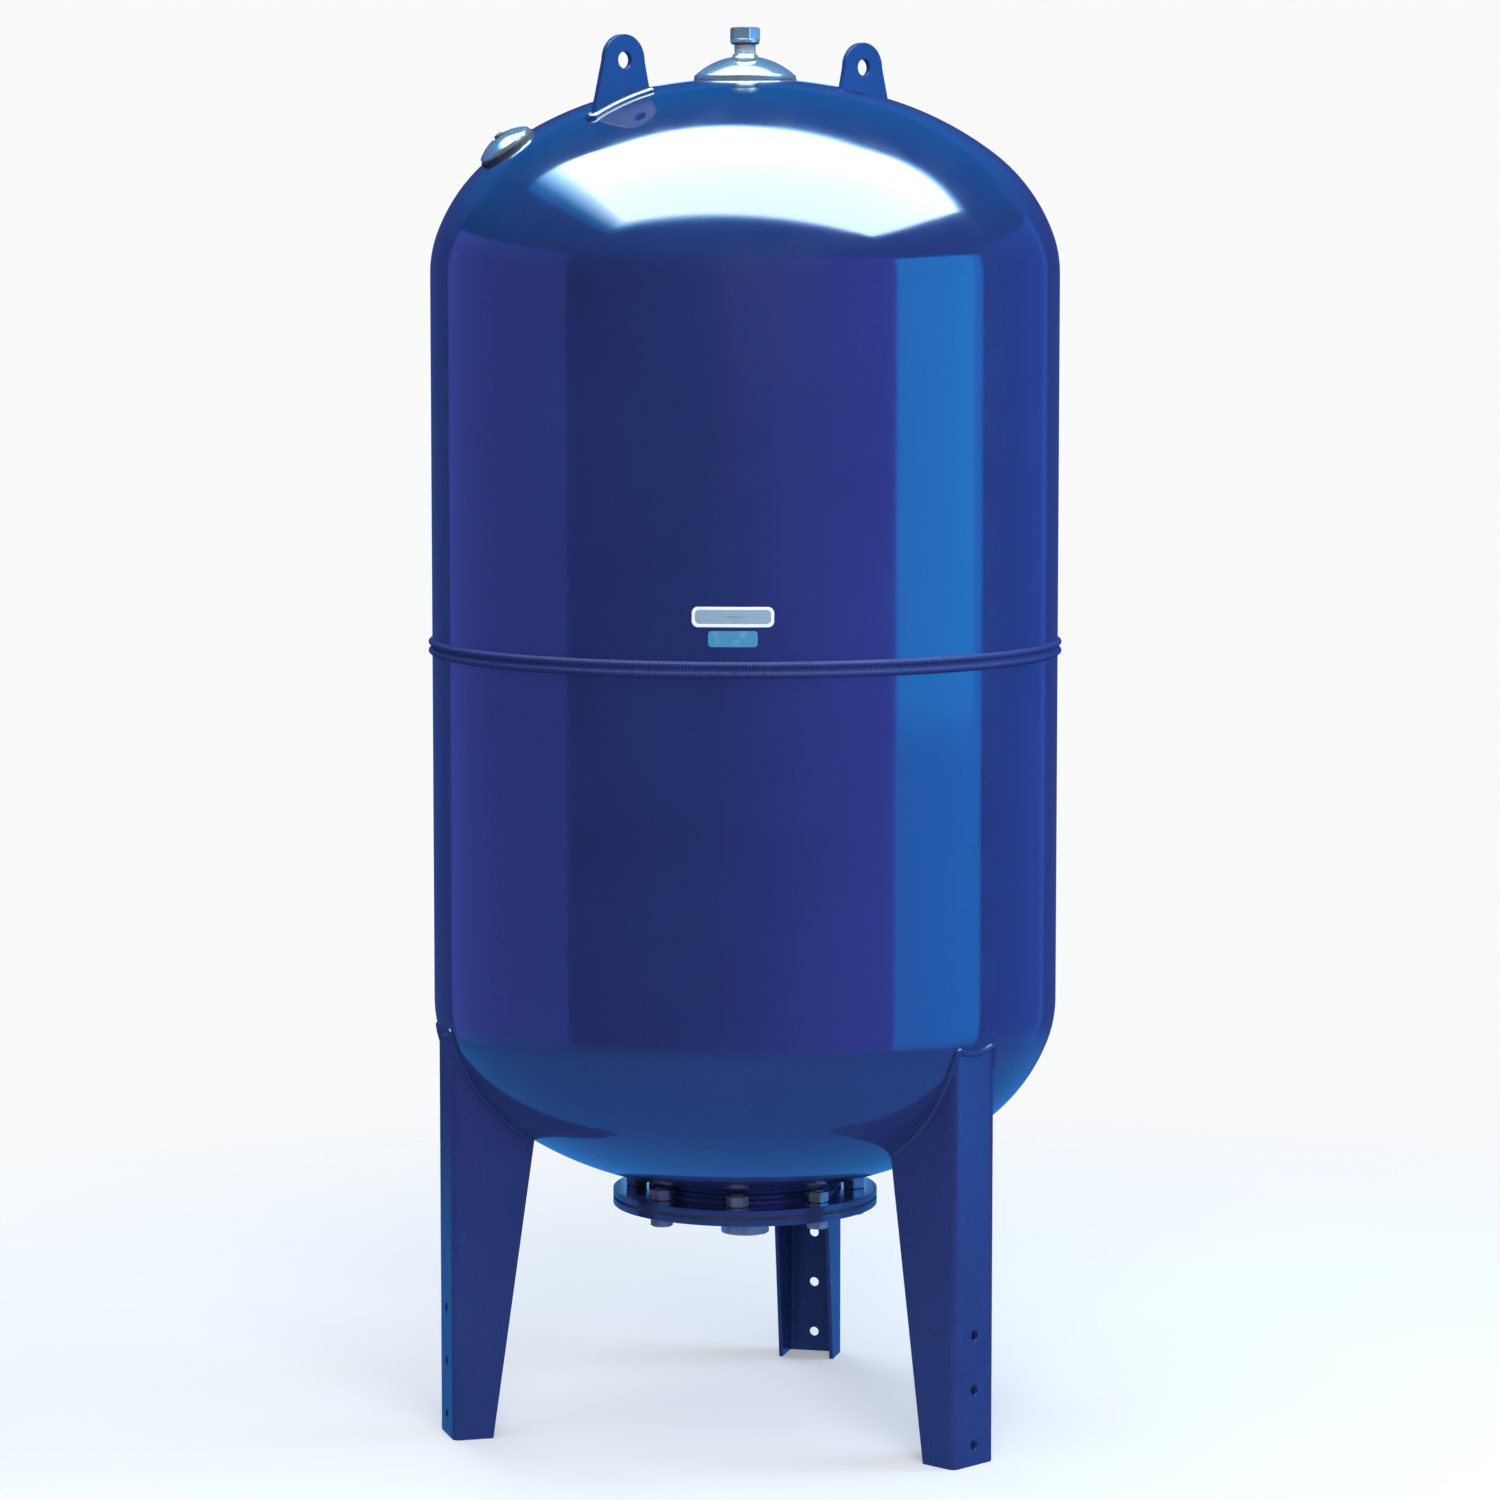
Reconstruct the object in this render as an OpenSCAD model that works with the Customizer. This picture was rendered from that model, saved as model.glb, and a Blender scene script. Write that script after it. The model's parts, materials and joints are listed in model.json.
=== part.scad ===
// Vertical membrane expansion vessel on three legs.
// Origin: centre of the footprint at floor level, +Z up, +Y towards the rear leg.

/* [Shell] */
// Outside diameter of the steel shell
shell_d = 750; // [746:1:754]
// Wall thickness of the shell
wall = 4; // [3:0.5:5]
// Depth of each pressed head, from its tangent line to its crown
head_h = 231; // [228:1:234]
// Height of the girth seam above the floor
seam_z = 943; // [941:1:945]
// Straight length of the upper half, from the seam to its tangent line
upper_len = 443.5; // [442:0.5:445]
// Straight length of the lower half, from the seam to its tangent line
lower_len = 426; // [425:0.5:427]
// Height of the raised girth seam
seam_h = 19; // [16:1:22]
// How far the ridges of the girth seam stand proud of the shell
seam_proud = 4.5; // [4:0.5:6]

/* [Legs] */
// Width of a leg's outer web
leg_w = 71; // [68:1:74]
// Sheet thickness of a leg
leg_t = 5; // [4:0.5:6]
// Depth of a leg's side flanges at the floor
leg_foot = 49; // [46:1:52]
// How much deeper the flanges get for each millimetre of height
leg_taper = 0.145; // [0.13:0.005:0.15]
// Outside bend radius of a leg
leg_bend = 8; // [7:1:9]
// Diameter of the fixing holes in a leg
leg_hole_d = 12; // [11:1:14]
// Height of the lowest fixing hole
leg_hole_z = 25; // [22:1:30]
// Spacing of the fixing holes
leg_hole_step = 65; // [60:1:70]

/* [Lifting lugs] */
// Plate thickness of a lug
lug_t = 8; // [6:1:10]
// Radius of a lug's round top
lug_r = 30; // [28:1:32]
// Diameter of the lifting hole
lug_hole_d = 20; // [18:1:24]
// Distance of the lifting hole from the vessel's axis
lug_pos = 188; // [186:1:190]
// Height of the lifting hole
lug_z = 1634; // [1632:1:1636]

/* [Bottom flange] */
// Outside diameter of the flange pair
flange_d = 320; // [316:1:324]
// Thickness of each flange ring
flange_t = 8; // [7:0.5:8]
// Bolt circle diameter
flange_pcd = 264; // [262:1:266]
// Number of flange bolts
flange_bolts_n = 8; // [8]
// Nominal diameter of the flange bolts
bolt_d = 16; // [16]
// Outside diameter of the water socket
socket_d = 58; // [56:1:60]
// Minor diameter of the water socket's thread
socket_bore = 44.6; // [44:0.1:45]
// Length of the water socket
socket_len = 49; // [45:1:52]

/* [Top fitting] */
// Diameter of the domed cover
cover_d = 121; // [118:1:124]
// Outside diameter of the hanger's nipple
nipple_d = 26.4; // [26.4]
// Width across flats of the vent plug
plug_af = 32; // [30:1:32]

/* [Air valve] */
// Distance of the valve from the vessel's axis
valve_r = 290; // [286:1:294]
// Diameter of the valve's guard
guard_d = 68; // [66:1:72]
// Height of the guard over the shell
guard_h = 18; // [18]

/* [Hidden] */
$fn = 96;

R = shell_d / 2;
up_tan = seam_z + upper_len;      // tangent line of the upper head
lo_tan = seam_z - lower_len;      // tangent line of the lower head
crown_z = up_tan + head_h;        // outside of the upper crown
base_z = lo_tan - head_h;         // outside of the lower crown

// The head is four tangent arcs from crown to knuckle, close to half an ellipse. They change over
// along the directions d1 to d3, given as [sine, cosine] of the angle from the axis. The steps in
// radius from the first arc to the second and from the third to the fourth are chosen, and the rest
// follows from the head's radius and depth.
d0 = [0, 1];
d1 = [0.28, 0.96];
d2 = [0.6, 0.8];
d3 = [0.936, 0.352];
d4 = [1, 0];
s12 = 190;
s34 = 75;
s23 = (R - head_h - 0.24 * s12 - 0.288 * s34) / 0.4;
r4 = head_h - 0.04 * s12 - 0.2 * s23 - 0.648 * s34;
r3 = r4 + s34;
r2 = r3 + s23;
r1 = r2 + s12;
c1 = [0, head_h - r1];
c2 = c1 + s12 * d1;
c3 = c2 + s23 * d2;
c4 = c3 + s34 * d3;

// Azimuths, in degrees round +Z
legs_az = [90, 210, 330];
lug_az = [235, 55];
valve_az = 210;
label_az = 281.9;
bolt_az = 10;

// Flange stack, from the floor up
fl_top = 283;
fl_mid = fl_top - flange_t;       // underside of the neck flange
rub_t = 3;                        // membrane rim
fl_low = fl_mid - rub_t;          // top of the counter flange
fl_bot = fl_low - flange_t;
neck_ro = 112;
neck_ri = 104;

// Top fitting, from the inside out
nose_z = 1595;                    // underside of the membrane's nose
boss_z = 1606;                    // underside of the boss
boss_top = 1621;
nipple_top = 1657;
plug_pitch = 1.814;

// Air valve, in its own frame: origin on the shell's surface, +Z along the surface's normal
valve_tilt = asin((valve_r - c2[0]) / r2);
valve_o = [valve_r * cos(valve_az), valve_r * sin(valve_az), up_tan + c2[1] + r2 * cos(valve_tilt)];

blue = [0.11, 0.17, 0.52];
chrome = [0.80, 0.82, 0.84];
zinc = [0.62, 0.64, 0.66];
black = [0.05, 0.05, 0.06];

// Strip across a head's wall between two directions, from their points on the outer surface
module strip(pa, da, pb, db, w) polygon([pa - w * da, pa + w * da, pb + w * db, pb - w * db]);

// One arc band of a head's wall, in the radius-height plane
module band(c, r, t, da, db, w = 34) intersection() {
  translate(c) difference() { circle(r); circle(r - t); }
  strip(c + r * da, da, c + r * db, db, w);
}

// Half profile of a half shell's wall: the head, and its straight part below the tangent line
module half_wall(t, len) {
  band(c1, r1, t, d0, d1);
  band(c2, r2, t, d1, d2);
  band(c3, r3, t, d2, d3);
  band(c4, r4, t, d3, d4);
  translate([R - t, -len]) square([t, len]);
}

// Thick bands inside the shell's outer surface, used to cope the pieces welded to it
module upper_fill() translate([0, 0, up_tan]) rotate_extrude($fn = 360) {
  band(c1, r1, 126, d0, d1, 130, $fn = 720);
  band(c2, r2, 126, d1, d2, 130, $fn = 720);
  band(c3, r3, 126, d2, d3, 130, $fn = 720);
}
module lower_fill() translate([0, 0, lo_tan]) mirror([0, 0, 1]) rotate_extrude($fn = 360) {
  band(c2, r2, 126, d1, d2, 130, $fn = 720);
  band(c3, r3, 126, d2, d3, 130, $fn = 720);
  band(c4, r4, 126, d3, d4, 130, $fn = 720);
}

module at_valve() { translate(valve_o) rotate([0, valve_tilt, valve_az]) children(); }

module upper_shell() color(blue) difference() {
  translate([0, 0, up_tan]) rotate_extrude() half_wall(wall, upper_len, $fn = 360);
  translate([0, 0, crown_z - 40]) cylinder(h = 60, r = 45);
  at_valve() translate([0, 0, -20]) cylinder(h = 40, r = 13);
}

module lower_shell() color(blue) difference() {
  translate([0, 0, lo_tan]) mirror([0, 0, 1]) rotate_extrude() half_wall(wall, lower_len, $fn = 360);
  translate([0, 0, base_z - 20]) cylinder(h = 60, r = neck_ro);
}

module girth_weld() color(blue) translate([0, 0, seam_z]) rotate_extrude() difference() {
  union() {
    translate([R, -seam_h / 2]) square([2.4, seam_h]);
    for (s = [-1, 1]) translate([R + seam_proud - 3, s * (seam_h / 2 - 4.2)]) circle(3);
  }
  translate([R - 20, -20]) square([20, 40]);
}

// Folded channel leg on the +X axis: web outwards, flanges tapering in towards the foot
module leg(az) color(blue) rotate(az) {
  xo = R - 3;
  deep = 112;
  difference() {
    intersection() {
      linear_extrude(510) difference() {
        union() {
          translate([xo - deep, -leg_w / 2]) square([deep - leg_bend, leg_w]);
          translate([xo - leg_bend - 1, -leg_w / 2 + leg_bend]) square([leg_bend + 1, leg_w - 2 * leg_bend]);
          for (s = [-1, 1]) translate([xo - leg_bend, s * (leg_w / 2 - leg_bend)]) circle(leg_bend);
        }
        translate([xo - deep - 1, -leg_w / 2 + leg_t]) square([deep + 1 - leg_bend, leg_w - 2 * leg_t]);
        translate([xo - leg_bend - 1, -leg_w / 2 + leg_bend]) square([leg_bend + 1 - leg_t, leg_w - 2 * leg_bend]);
        for (s = [-1, 1]) translate([xo - leg_bend, s * (leg_w / 2 - leg_bend)]) circle(leg_bend - leg_t);
      }
      translate([0, leg_w, 0]) rotate([90, 0, 0]) linear_extrude(2 * leg_w)
        polygon([[xo + 1, 0], [xo - leg_foot, 0], [xo - leg_foot - leg_taper * 375, 375],
          [xo - 72, 405], [xo - 27, 450], [xo + 1, 505]]);
    }
    lower_fill();
    for (i = [0:2]) translate([xo - 20, 0, leg_hole_z + i * leg_hole_step]) rotate([0, 90, 0])
      cylinder(h = 40, r = leg_hole_d / 2);
  }
}
module leg_rear() leg(legs_az[0]);
module leg_left() leg(legs_az[1]);
module leg_right() leg(legs_az[2]);

// Flat eye plate standing in a radial plane, coped to the crown
module lug(az) color(blue) rotate(az) difference() {
  translate([0, lug_t / 2, 0]) rotate([90, 0, 0]) linear_extrude(lug_t) difference() {
    union() {
      translate([lug_pos, lug_z]) circle(lug_r);
      polygon([[lug_pos - lug_r, lug_z], [lug_pos - 47, crown_z - 60], [lug_pos + 47, crown_z - 60],
        [lug_pos + 47, crown_z - 50], [lug_pos + lug_r, lug_z]]);
    }
    translate([lug_pos, lug_z]) circle(lug_hole_d / 2);
  }
  upper_fill();
}
module lifting_lug_left() lug(lug_az[0]);
module lifting_lug_right() lug(lug_az[1]);

module ring(ro, ri, z0, z1) translate([0, 0, z0]) difference() {
  cylinder(h = z1 - z0, r = ro);
  translate([0, 0, -1]) cylinder(h = z1 - z0 + 2, r = ri);
}
module bolt_circle() for (i = [0:flange_bolts_n - 1]) rotate(bolt_az + i * 360 / flange_bolts_n)
  translate([flange_pcd / 2, 0, 0]) children();

module neck_tube() color(blue) ring(neck_ro, neck_ri, fl_mid, base_z + 19);
module neck_flange() color(blue) difference() {
  ring(flange_d / 2, neck_ro, fl_mid, fl_top);
  bolt_circle() translate([0, 0, fl_mid - 1]) cylinder(h = flange_t + 2, r = bolt_d / 2 + 1);
}

// Rubber bag: a flat rim between the flanges, a neck, a round body and a thick nose
module membrane() color(black) {
  rb = 280; rn = 102; q = rb - rn; t = 3; zb = 315; zt = nose_z + t;
  difference() {
    rotate_extrude() {
      translate([rn - t, fl_low]) square([t, zb + t - fl_low]);
      translate([rn - t, fl_low]) square([flange_d / 2 - rn + t, rub_t]);
      translate([rn, zb + q]) intersection() {
        difference() { circle(q); circle(q - t); }
        translate([0, -q - 1]) square([q + 1, q + 1]);
      }
      translate([rb - t, zb + q]) square([t, zt - zb - 2 * q]);
      translate([rn, zt - q]) intersection() {
        difference() { circle(q); circle(q - t); }
        square([q + 1, q + 1]);
      }
      translate([14, zt - t]) square([rn - 14, t]);
      translate([14, nose_z]) square([26, boss_z - nose_z]);
    }
    bolt_circle() translate([0, 0, fl_low - 1]) cylinder(h = rub_t + 2, r = bolt_d / 2 + 1);
  }
}

module counter_flange() color(blue) difference() {
  ring(flange_d / 2, socket_d / 2, fl_bot, fl_low);
  bolt_circle() translate([0, 0, fl_bot - 1]) cylinder(h = flange_t + 2, r = bolt_d / 2 + 1);
}
module water_socket() color(zinc) ring(socket_d / 2, socket_bore / 2, fl_low + 4 - socket_len, fl_low + 4);

module flange_bolts() color(zinc) bolt_circle() {
  translate([0, 0, fl_bot - 13]) rotate(30) cylinder(h = 10, d = 24 / cos(30), $fn = 6);
  translate([0, 0, fl_bot - 4]) cylinder(h = fl_top + 19 - fl_bot, r = bolt_d / 2);
}
module flange_washers() color(zinc) bolt_circle() ring(15, bolt_d / 2 + 0.5, fl_bot - 3, fl_bot);
module flange_nuts() color(zinc) bolt_circle() translate([0, 0, fl_top]) difference() {
  rotate(30) cylinder(h = 13, d = 24 / cos(30), $fn = 6);
  translate([0, 0, -1]) cylinder(h = 15, r = bolt_d / 2);
}

module top_boss() color(blue) ring(45, nipple_d / 2 + 0.4, boss_z, boss_top);
module membrane_hanger() color(zinc) difference() {
  union() {
    translate([0, 0, nose_z - 6]) cylinder(h = 6, r = 38);
    translate([0, 0, nose_z - 1]) cylinder(h = nipple_top - nose_z + 1, r = nipple_d / 2);
  }
  translate([0, 0, nose_z - 10]) cylinder(h = nipple_top - nose_z + 20, r = 9.6);
}
module hanger_washer() color(zinc) ring(22, nipple_d / 2 + 0.4, boss_top, boss_top + 3);
module hanger_nut() color(zinc) translate([0, 0, boss_top + 3]) difference() {
  cylinder(h = 10, d = 40 / cos(30), $fn = 6);
  translate([0, 0, -1]) cylinder(h = 12, r = nipple_d / 2);
}

// Domed cover: a spherical cap on a short skirt, with a collar round the nipple
module top_cover() color(chrome) {
  skirt = 4; h = 24; t = 1.6; z0 = crown_z - 2;
  rs = (pow(cover_d / 2, 2) + h * h) / (2 * h);
  cz = z0 + skirt + h - rs;
  rotate_extrude() {
    intersection() {
      translate([0, cz]) difference() { circle(rs); circle(rs - t); }
      translate([nipple_d / 2 + 0.1, z0 + skirt - 0.6]) square([cover_d / 2 - nipple_d / 2 - 0.1, h + 2]);
    }
    translate([cover_d / 2 - t, z0]) square([t, skirt + 0.1]);
    translate([nipple_d / 2 + 0.1, z0 + skirt + h - 3]) square([t, 4.5]);
  }
}
module top_cover_seal() color(black) {
  ri = cover_d / 2 - 3;
  ro = cover_d / 2 + 1.5;
  z = function(r) up_tan + c1[1] + sqrt(r1 * r1 - r * r) + 0.01;
  rotate_extrude() polygon([[ri, z(ri)], [ro, z(ro)], [ro, crown_z - 2], [ri, crown_z - 2]]);
}

module plug_seal() color(black) ring(16.5, 9.6, nipple_top, nipple_top + 1.9);
module vent_plug() color(chrome) {
  translate([0, 0, nipple_top + 2]) cylinder(h = 4, r = 17.5);
  translate([0, 0, nipple_top + 5]) cylinder(h = 15, d = plug_af / cos(30), $fn = 6);
  translate([0, 0, nipple_top - 9]) cylinder(h = 12, r = 9.3);
}

module valve_boss() color(blue) at_valve() ring(13, 5.6, -9, 3);
module valve_guard_seal() color(black) difference() {
  at_valve() ring(guard_d / 2 + 2, guard_d / 2 - 5, -5, 3);
  upper_fill();
}
// Domed guard round the valve, with the opening for the dust cap in its crown
module valve_guard() color(chrome) at_valve() {
  skirt = 4; t = 1.6; h = guard_h - 3 - skirt;
  rs = (pow(guard_d / 2, 2) + h * h) / (2 * h);
  rotate_extrude() {
    intersection() {
      translate([0, 3 + skirt + h - rs]) difference() { circle(rs); circle(rs - t); }
      translate([9, 3 + skirt - 0.6]) square([guard_d / 2 - 9, h + 2]);
    }
    translate([guard_d / 2 - t, 3]) square([t, skirt + 0.1]);
  }
}
module valve_stem() color([0.72, 0.60, 0.30]) at_valve() difference() {
  union() {
    translate([0, 0, -20]) cylinder(h = 23, r = 5.6);
    translate([0, 0, 3]) cylinder(h = 4, d = 12 / cos(30), $fn = 6);
    translate([0, 0, 6]) cylinder(h = 11, r = 3.85);
  }
  translate([0, 0, -6.3]) cylinder(h = 14.3, r = 2.6);
  translate([0, 0, 7]) cylinder(h = 11, r = 1.6);
  translate([0, 0, -21]) cylinder(h = 16, r = 1.4);
}
module valve_pin() color([0.78, 0.68, 0.36]) at_valve() {
  translate([0, 0, -14]) cylinder(h = 30.6, r = 0.9);
  translate([0, 0, 4]) cylinder(h = 1.8, r = 2.2);
}
// Coil spring that holds the pin shut, as a swept wire
module valve_spring() color([0.6, 0.62, 0.64]) at_valve() {
  turns = 5; rc = 1.75; rw = 0.3; z0 = -5.9; z1 = 3.6; per = 10; sides = 6;
  n = turns * per;
  pts = [for (i = [0:n]) let (a = i * 360 / per, c = [rc * cos(a), rc * sin(a), z0 + (z1 - z0) * i / n])
    for (j = [0:sides - 1]) let (b = j * 360 / sides) c + [rw * cos(b) * cos(a), rw * cos(b) * sin(a), rw * sin(b)]];
  faces = concat([[for (j = [0:sides - 1]) j]],
    [for (i = [0:n - 1]) for (j = [0:sides - 1]) let (k = (j + 1) % sides)
      [i * sides + j, (i + 1) * sides + j, (i + 1) * sides + k, i * sides + k]],
    [[for (j = [sides - 1:-1:0]) n * sides + j]]);
  polyhedron(pts, faces);
}
module valve_cap_seal() color(black) at_valve() translate([0, 0, 17]) difference() {
  cylinder(h = 1, r = 4);
  translate([0, 0, -1]) cylinder(h = 3, r = 1.3);
}
module valve_cap() color(black) at_valve() difference() {
  translate([0, 0, 7.6]) cylinder(h = 12.4, r = 6.2);
  translate([0, 0, 7]) cylinder(h = 11.2, r = 4.15);
}

// Plain label, curved to the shell
module on_front(h, z) intersection() {
  translate([0, 0, z - 40]) difference() {
    cylinder(h = 80, r = R + h);
    translate([0, 0, -1]) cylinder(h = 82, r = R);
  }
  rotate(label_az) translate([0, 0, z]) rotate([90, 0, 90]) linear_extrude(R + 20) children();
}
module slab(w, h, r) {
  square([w - 2 * r, h], center = true);
  square([w, h - 2 * r], center = true);
  for (x = [-1, 1], y = [-1, 1]) translate([x * (w / 2 - r), y * (h / 2 - r)]) circle(r);
}
module label_plate() color("white") on_front(1.0, 1003) slab(93, 23, 7);
module label_bar() color([0.16, 0.55, 0.72]) on_front(0.8, 978) slab(56, 18, 4);

upper_shell();
lower_shell();
girth_weld();
leg_rear();
leg_left();
leg_right();
lifting_lug_left();
lifting_lug_right();
neck_tube();
neck_flange();
membrane();
counter_flange();
water_socket();
flange_bolts();
flange_washers();
flange_nuts();
top_boss();
membrane_hanger();
hanger_washer();
hanger_nut();
top_cover();
top_cover_seal();
plug_seal();
vent_plug();
valve_boss();
valve_guard_seal();
valve_guard();
valve_stem();
valve_pin();
valve_spring();
valve_cap_seal();
valve_cap();
label_plate();
label_bar();
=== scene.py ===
import bpy, bmesh, math, json
from mathutils import Matrix, Vector


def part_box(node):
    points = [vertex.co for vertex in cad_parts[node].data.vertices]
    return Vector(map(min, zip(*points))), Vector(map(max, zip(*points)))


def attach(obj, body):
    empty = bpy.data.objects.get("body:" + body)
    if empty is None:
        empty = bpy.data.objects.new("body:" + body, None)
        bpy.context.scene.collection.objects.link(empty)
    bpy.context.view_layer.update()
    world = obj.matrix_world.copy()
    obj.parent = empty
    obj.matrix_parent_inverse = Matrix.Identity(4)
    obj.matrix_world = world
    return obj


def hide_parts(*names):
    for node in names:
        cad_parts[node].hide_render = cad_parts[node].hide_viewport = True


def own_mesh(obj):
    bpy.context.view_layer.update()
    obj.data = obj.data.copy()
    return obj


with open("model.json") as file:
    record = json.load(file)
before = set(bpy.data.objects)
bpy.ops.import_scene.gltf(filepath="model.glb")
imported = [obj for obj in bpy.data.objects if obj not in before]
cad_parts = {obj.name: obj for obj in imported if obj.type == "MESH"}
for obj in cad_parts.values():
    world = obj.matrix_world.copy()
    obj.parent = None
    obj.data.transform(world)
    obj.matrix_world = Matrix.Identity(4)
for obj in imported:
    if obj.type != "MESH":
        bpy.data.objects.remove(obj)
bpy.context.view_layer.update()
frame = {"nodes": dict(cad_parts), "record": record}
record = frame["record"]
scene = bpy.context.scene
TAU = 2 * math.pi


# ---------------------------------------------------------------- sizes, in millimetres, from the frame
def mmbox(node):
    lo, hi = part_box(node)
    return [v * 1000 for v in lo], [v * 1000 for v in hi]


up_lo, up_hi = mmbox("upper_shell")
lo_lo, lo_hi = mmbox("lower_shell")
R = (up_hi[0] - up_lo[0]) / 2
SEAM = up_lo[2]
WALL = 4.0
HEAD = 231.0
UP_TAN = SEAM + 443.5
LO_TAN = SEAM - 426.0
CROWN = UP_TAN + HEAD
BASE = LO_TAN - HEAD
S12, S34 = 190.0, 75.0
S23 = (R - HEAD - 0.24 * S12 - 0.288 * S34) / 0.4
R4 = HEAD - 0.04 * S12 - 0.2 * S23 - 0.648 * S34
RAD = [R4 + S34 + S23 + S12, R4 + S34 + S23, R4 + S34, R4]
CEN = [(0.0, HEAD - RAD[0])]
for _s, _d in ((S12, (0.28, 0.96)), (S23, (0.6, 0.8)), (S34, (0.936, 0.352))):
    CEN.append((CEN[-1][0] + _s * _d[0], CEN[-1][1] + _s * _d[1]))
TURN = [0.0, math.asin(0.28), math.asin(0.6), math.asin(0.936), math.pi / 2]


def head_at(r):
    """Height of the head's outer surface over its tangent line at a radius, and the outward normal there."""
    for k in range(4):
        if r <= CEN[k][0] + RAD[k] * math.sin(TURN[k + 1]) + 1e-9:
            s = max(-1.0, min(1.0, (r - CEN[k][0]) / RAD[k]))
            a = math.asin(s)
            return CEN[k][1] + RAD[k] * math.cos(a), (math.sin(a), math.cos(a))
    return 0.0, (1.0, 0.0)


def head_arc(r_from, inset, step):
    """Points (r, height) of the head's surface from a radius out to the tangent line, inset by some depth."""
    pts = []
    a0 = None
    for k in range(4):
        top = CEN[k][0] + RAD[k] * math.sin(TURN[k + 1])
        if r_from > top:
            continue
        lo = TURN[k] if a0 is not None else max(TURN[k], math.asin(max(0.0, r_from - CEN[k][0]) / (RAD[k] - inset)))
        a0 = lo
        n = max(2, int(math.ceil(RAD[k] * (TURN[k + 1] - lo) / step)))
        for i in range(0 if not pts else 1, n + 1):
            a = lo + (TURN[k + 1] - lo) * i / n
            pts.append((CEN[k][0] + (RAD[k] - inset) * math.sin(a), CEN[k][1] + (RAD[k] - inset) * math.cos(a)))
    return pts


# ---------------------------------------------------------------- materials
def nodes_of(name):
    m = bpy.data.materials.new(name)
    m.use_nodes = True
    nt = m.node_tree
    nt.nodes.clear()
    out = nt.nodes.new("ShaderNodeOutputMaterial")
    return m, nt, out


def link(nt, a, b):
    nt.links.new(a, b)


def coords(nt, stretch=None):
    tc = nt.nodes.new("ShaderNodeTexCoord")
    if stretch is None:
        return tc.outputs["Object"]
    mp = nt.nodes.new("ShaderNodeMapping")
    mp.inputs["Scale"].default_value = stretch
    link(nt, tc.outputs["Object"], mp.inputs["Vector"])
    return mp.outputs["Vector"]


def noise(nt, vec, scale, detail=3.0, rough=0.5, distortion=0.0):
    n = nt.nodes.new("ShaderNodeTexNoise")
    n.inputs["Scale"].default_value = scale
    n.inputs["Detail"].default_value = detail
    n.inputs["Roughness"].default_value = rough
    n.inputs["Distortion"].default_value = distortion
    link(nt, vec, n.inputs["Vector"])
    return n.outputs["Fac"]


def remap(nt, fac, lo, hi, a=0.35, b=0.65):
    n = nt.nodes.new("ShaderNodeMapRange")
    n.inputs["From Min"].default_value = a
    n.inputs["From Max"].default_value = b
    n.inputs["To Min"].default_value = lo
    n.inputs["To Max"].default_value = hi
    link(nt, fac, n.inputs["Value"])
    return n.outputs["Result"]


def ramp(nt, fac, stops):
    n = nt.nodes.new("ShaderNodeValToRGB")
    el = n.color_ramp.elements
    while len(el) < len(stops):
        el.new(0.5)
    for e, (p, c) in zip(el, stops):
        e.position = p
        e.color = (*c, 1.0)
    link(nt, fac, n.inputs["Fac"])
    return n.outputs["Color"]


def mix(nt, fac, a, b):
    n = nt.nodes.new("ShaderNodeMix")
    n.data_type = "RGBA"
    if hasattr(fac, "links"):
        link(nt, fac, n.inputs[0])
    else:
        n.inputs[0].default_value = fac
    for v, s in ((a, n.inputs[6]), (b, n.inputs[7])):
        if hasattr(v, "links"):
            link(nt, v, s)
        else:
            s.default_value = (*v, 1.0)
    return n.outputs[2]


def math_node(nt, op, a, b=None):
    n = nt.nodes.new("ShaderNodeMath")
    n.operation = op
    for v, s in ((a, n.inputs[0]), (b, n.inputs[1])):
        if v is None:
            continue
        if hasattr(v, "links"):
            link(nt, v, s)
        else:
            s.default_value = v
    return n.outputs[0]


def bump(nt, height, strength, distance, normal=None):
    n = nt.nodes.new("ShaderNodeBump")
    n.inputs["Strength"].default_value = strength
    n.inputs["Distance"].default_value = distance
    link(nt, height, n.inputs["Height"])
    if normal is not None:
        link(nt, normal, n.inputs["Normal"])
    return n.outputs["Normal"]


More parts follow.
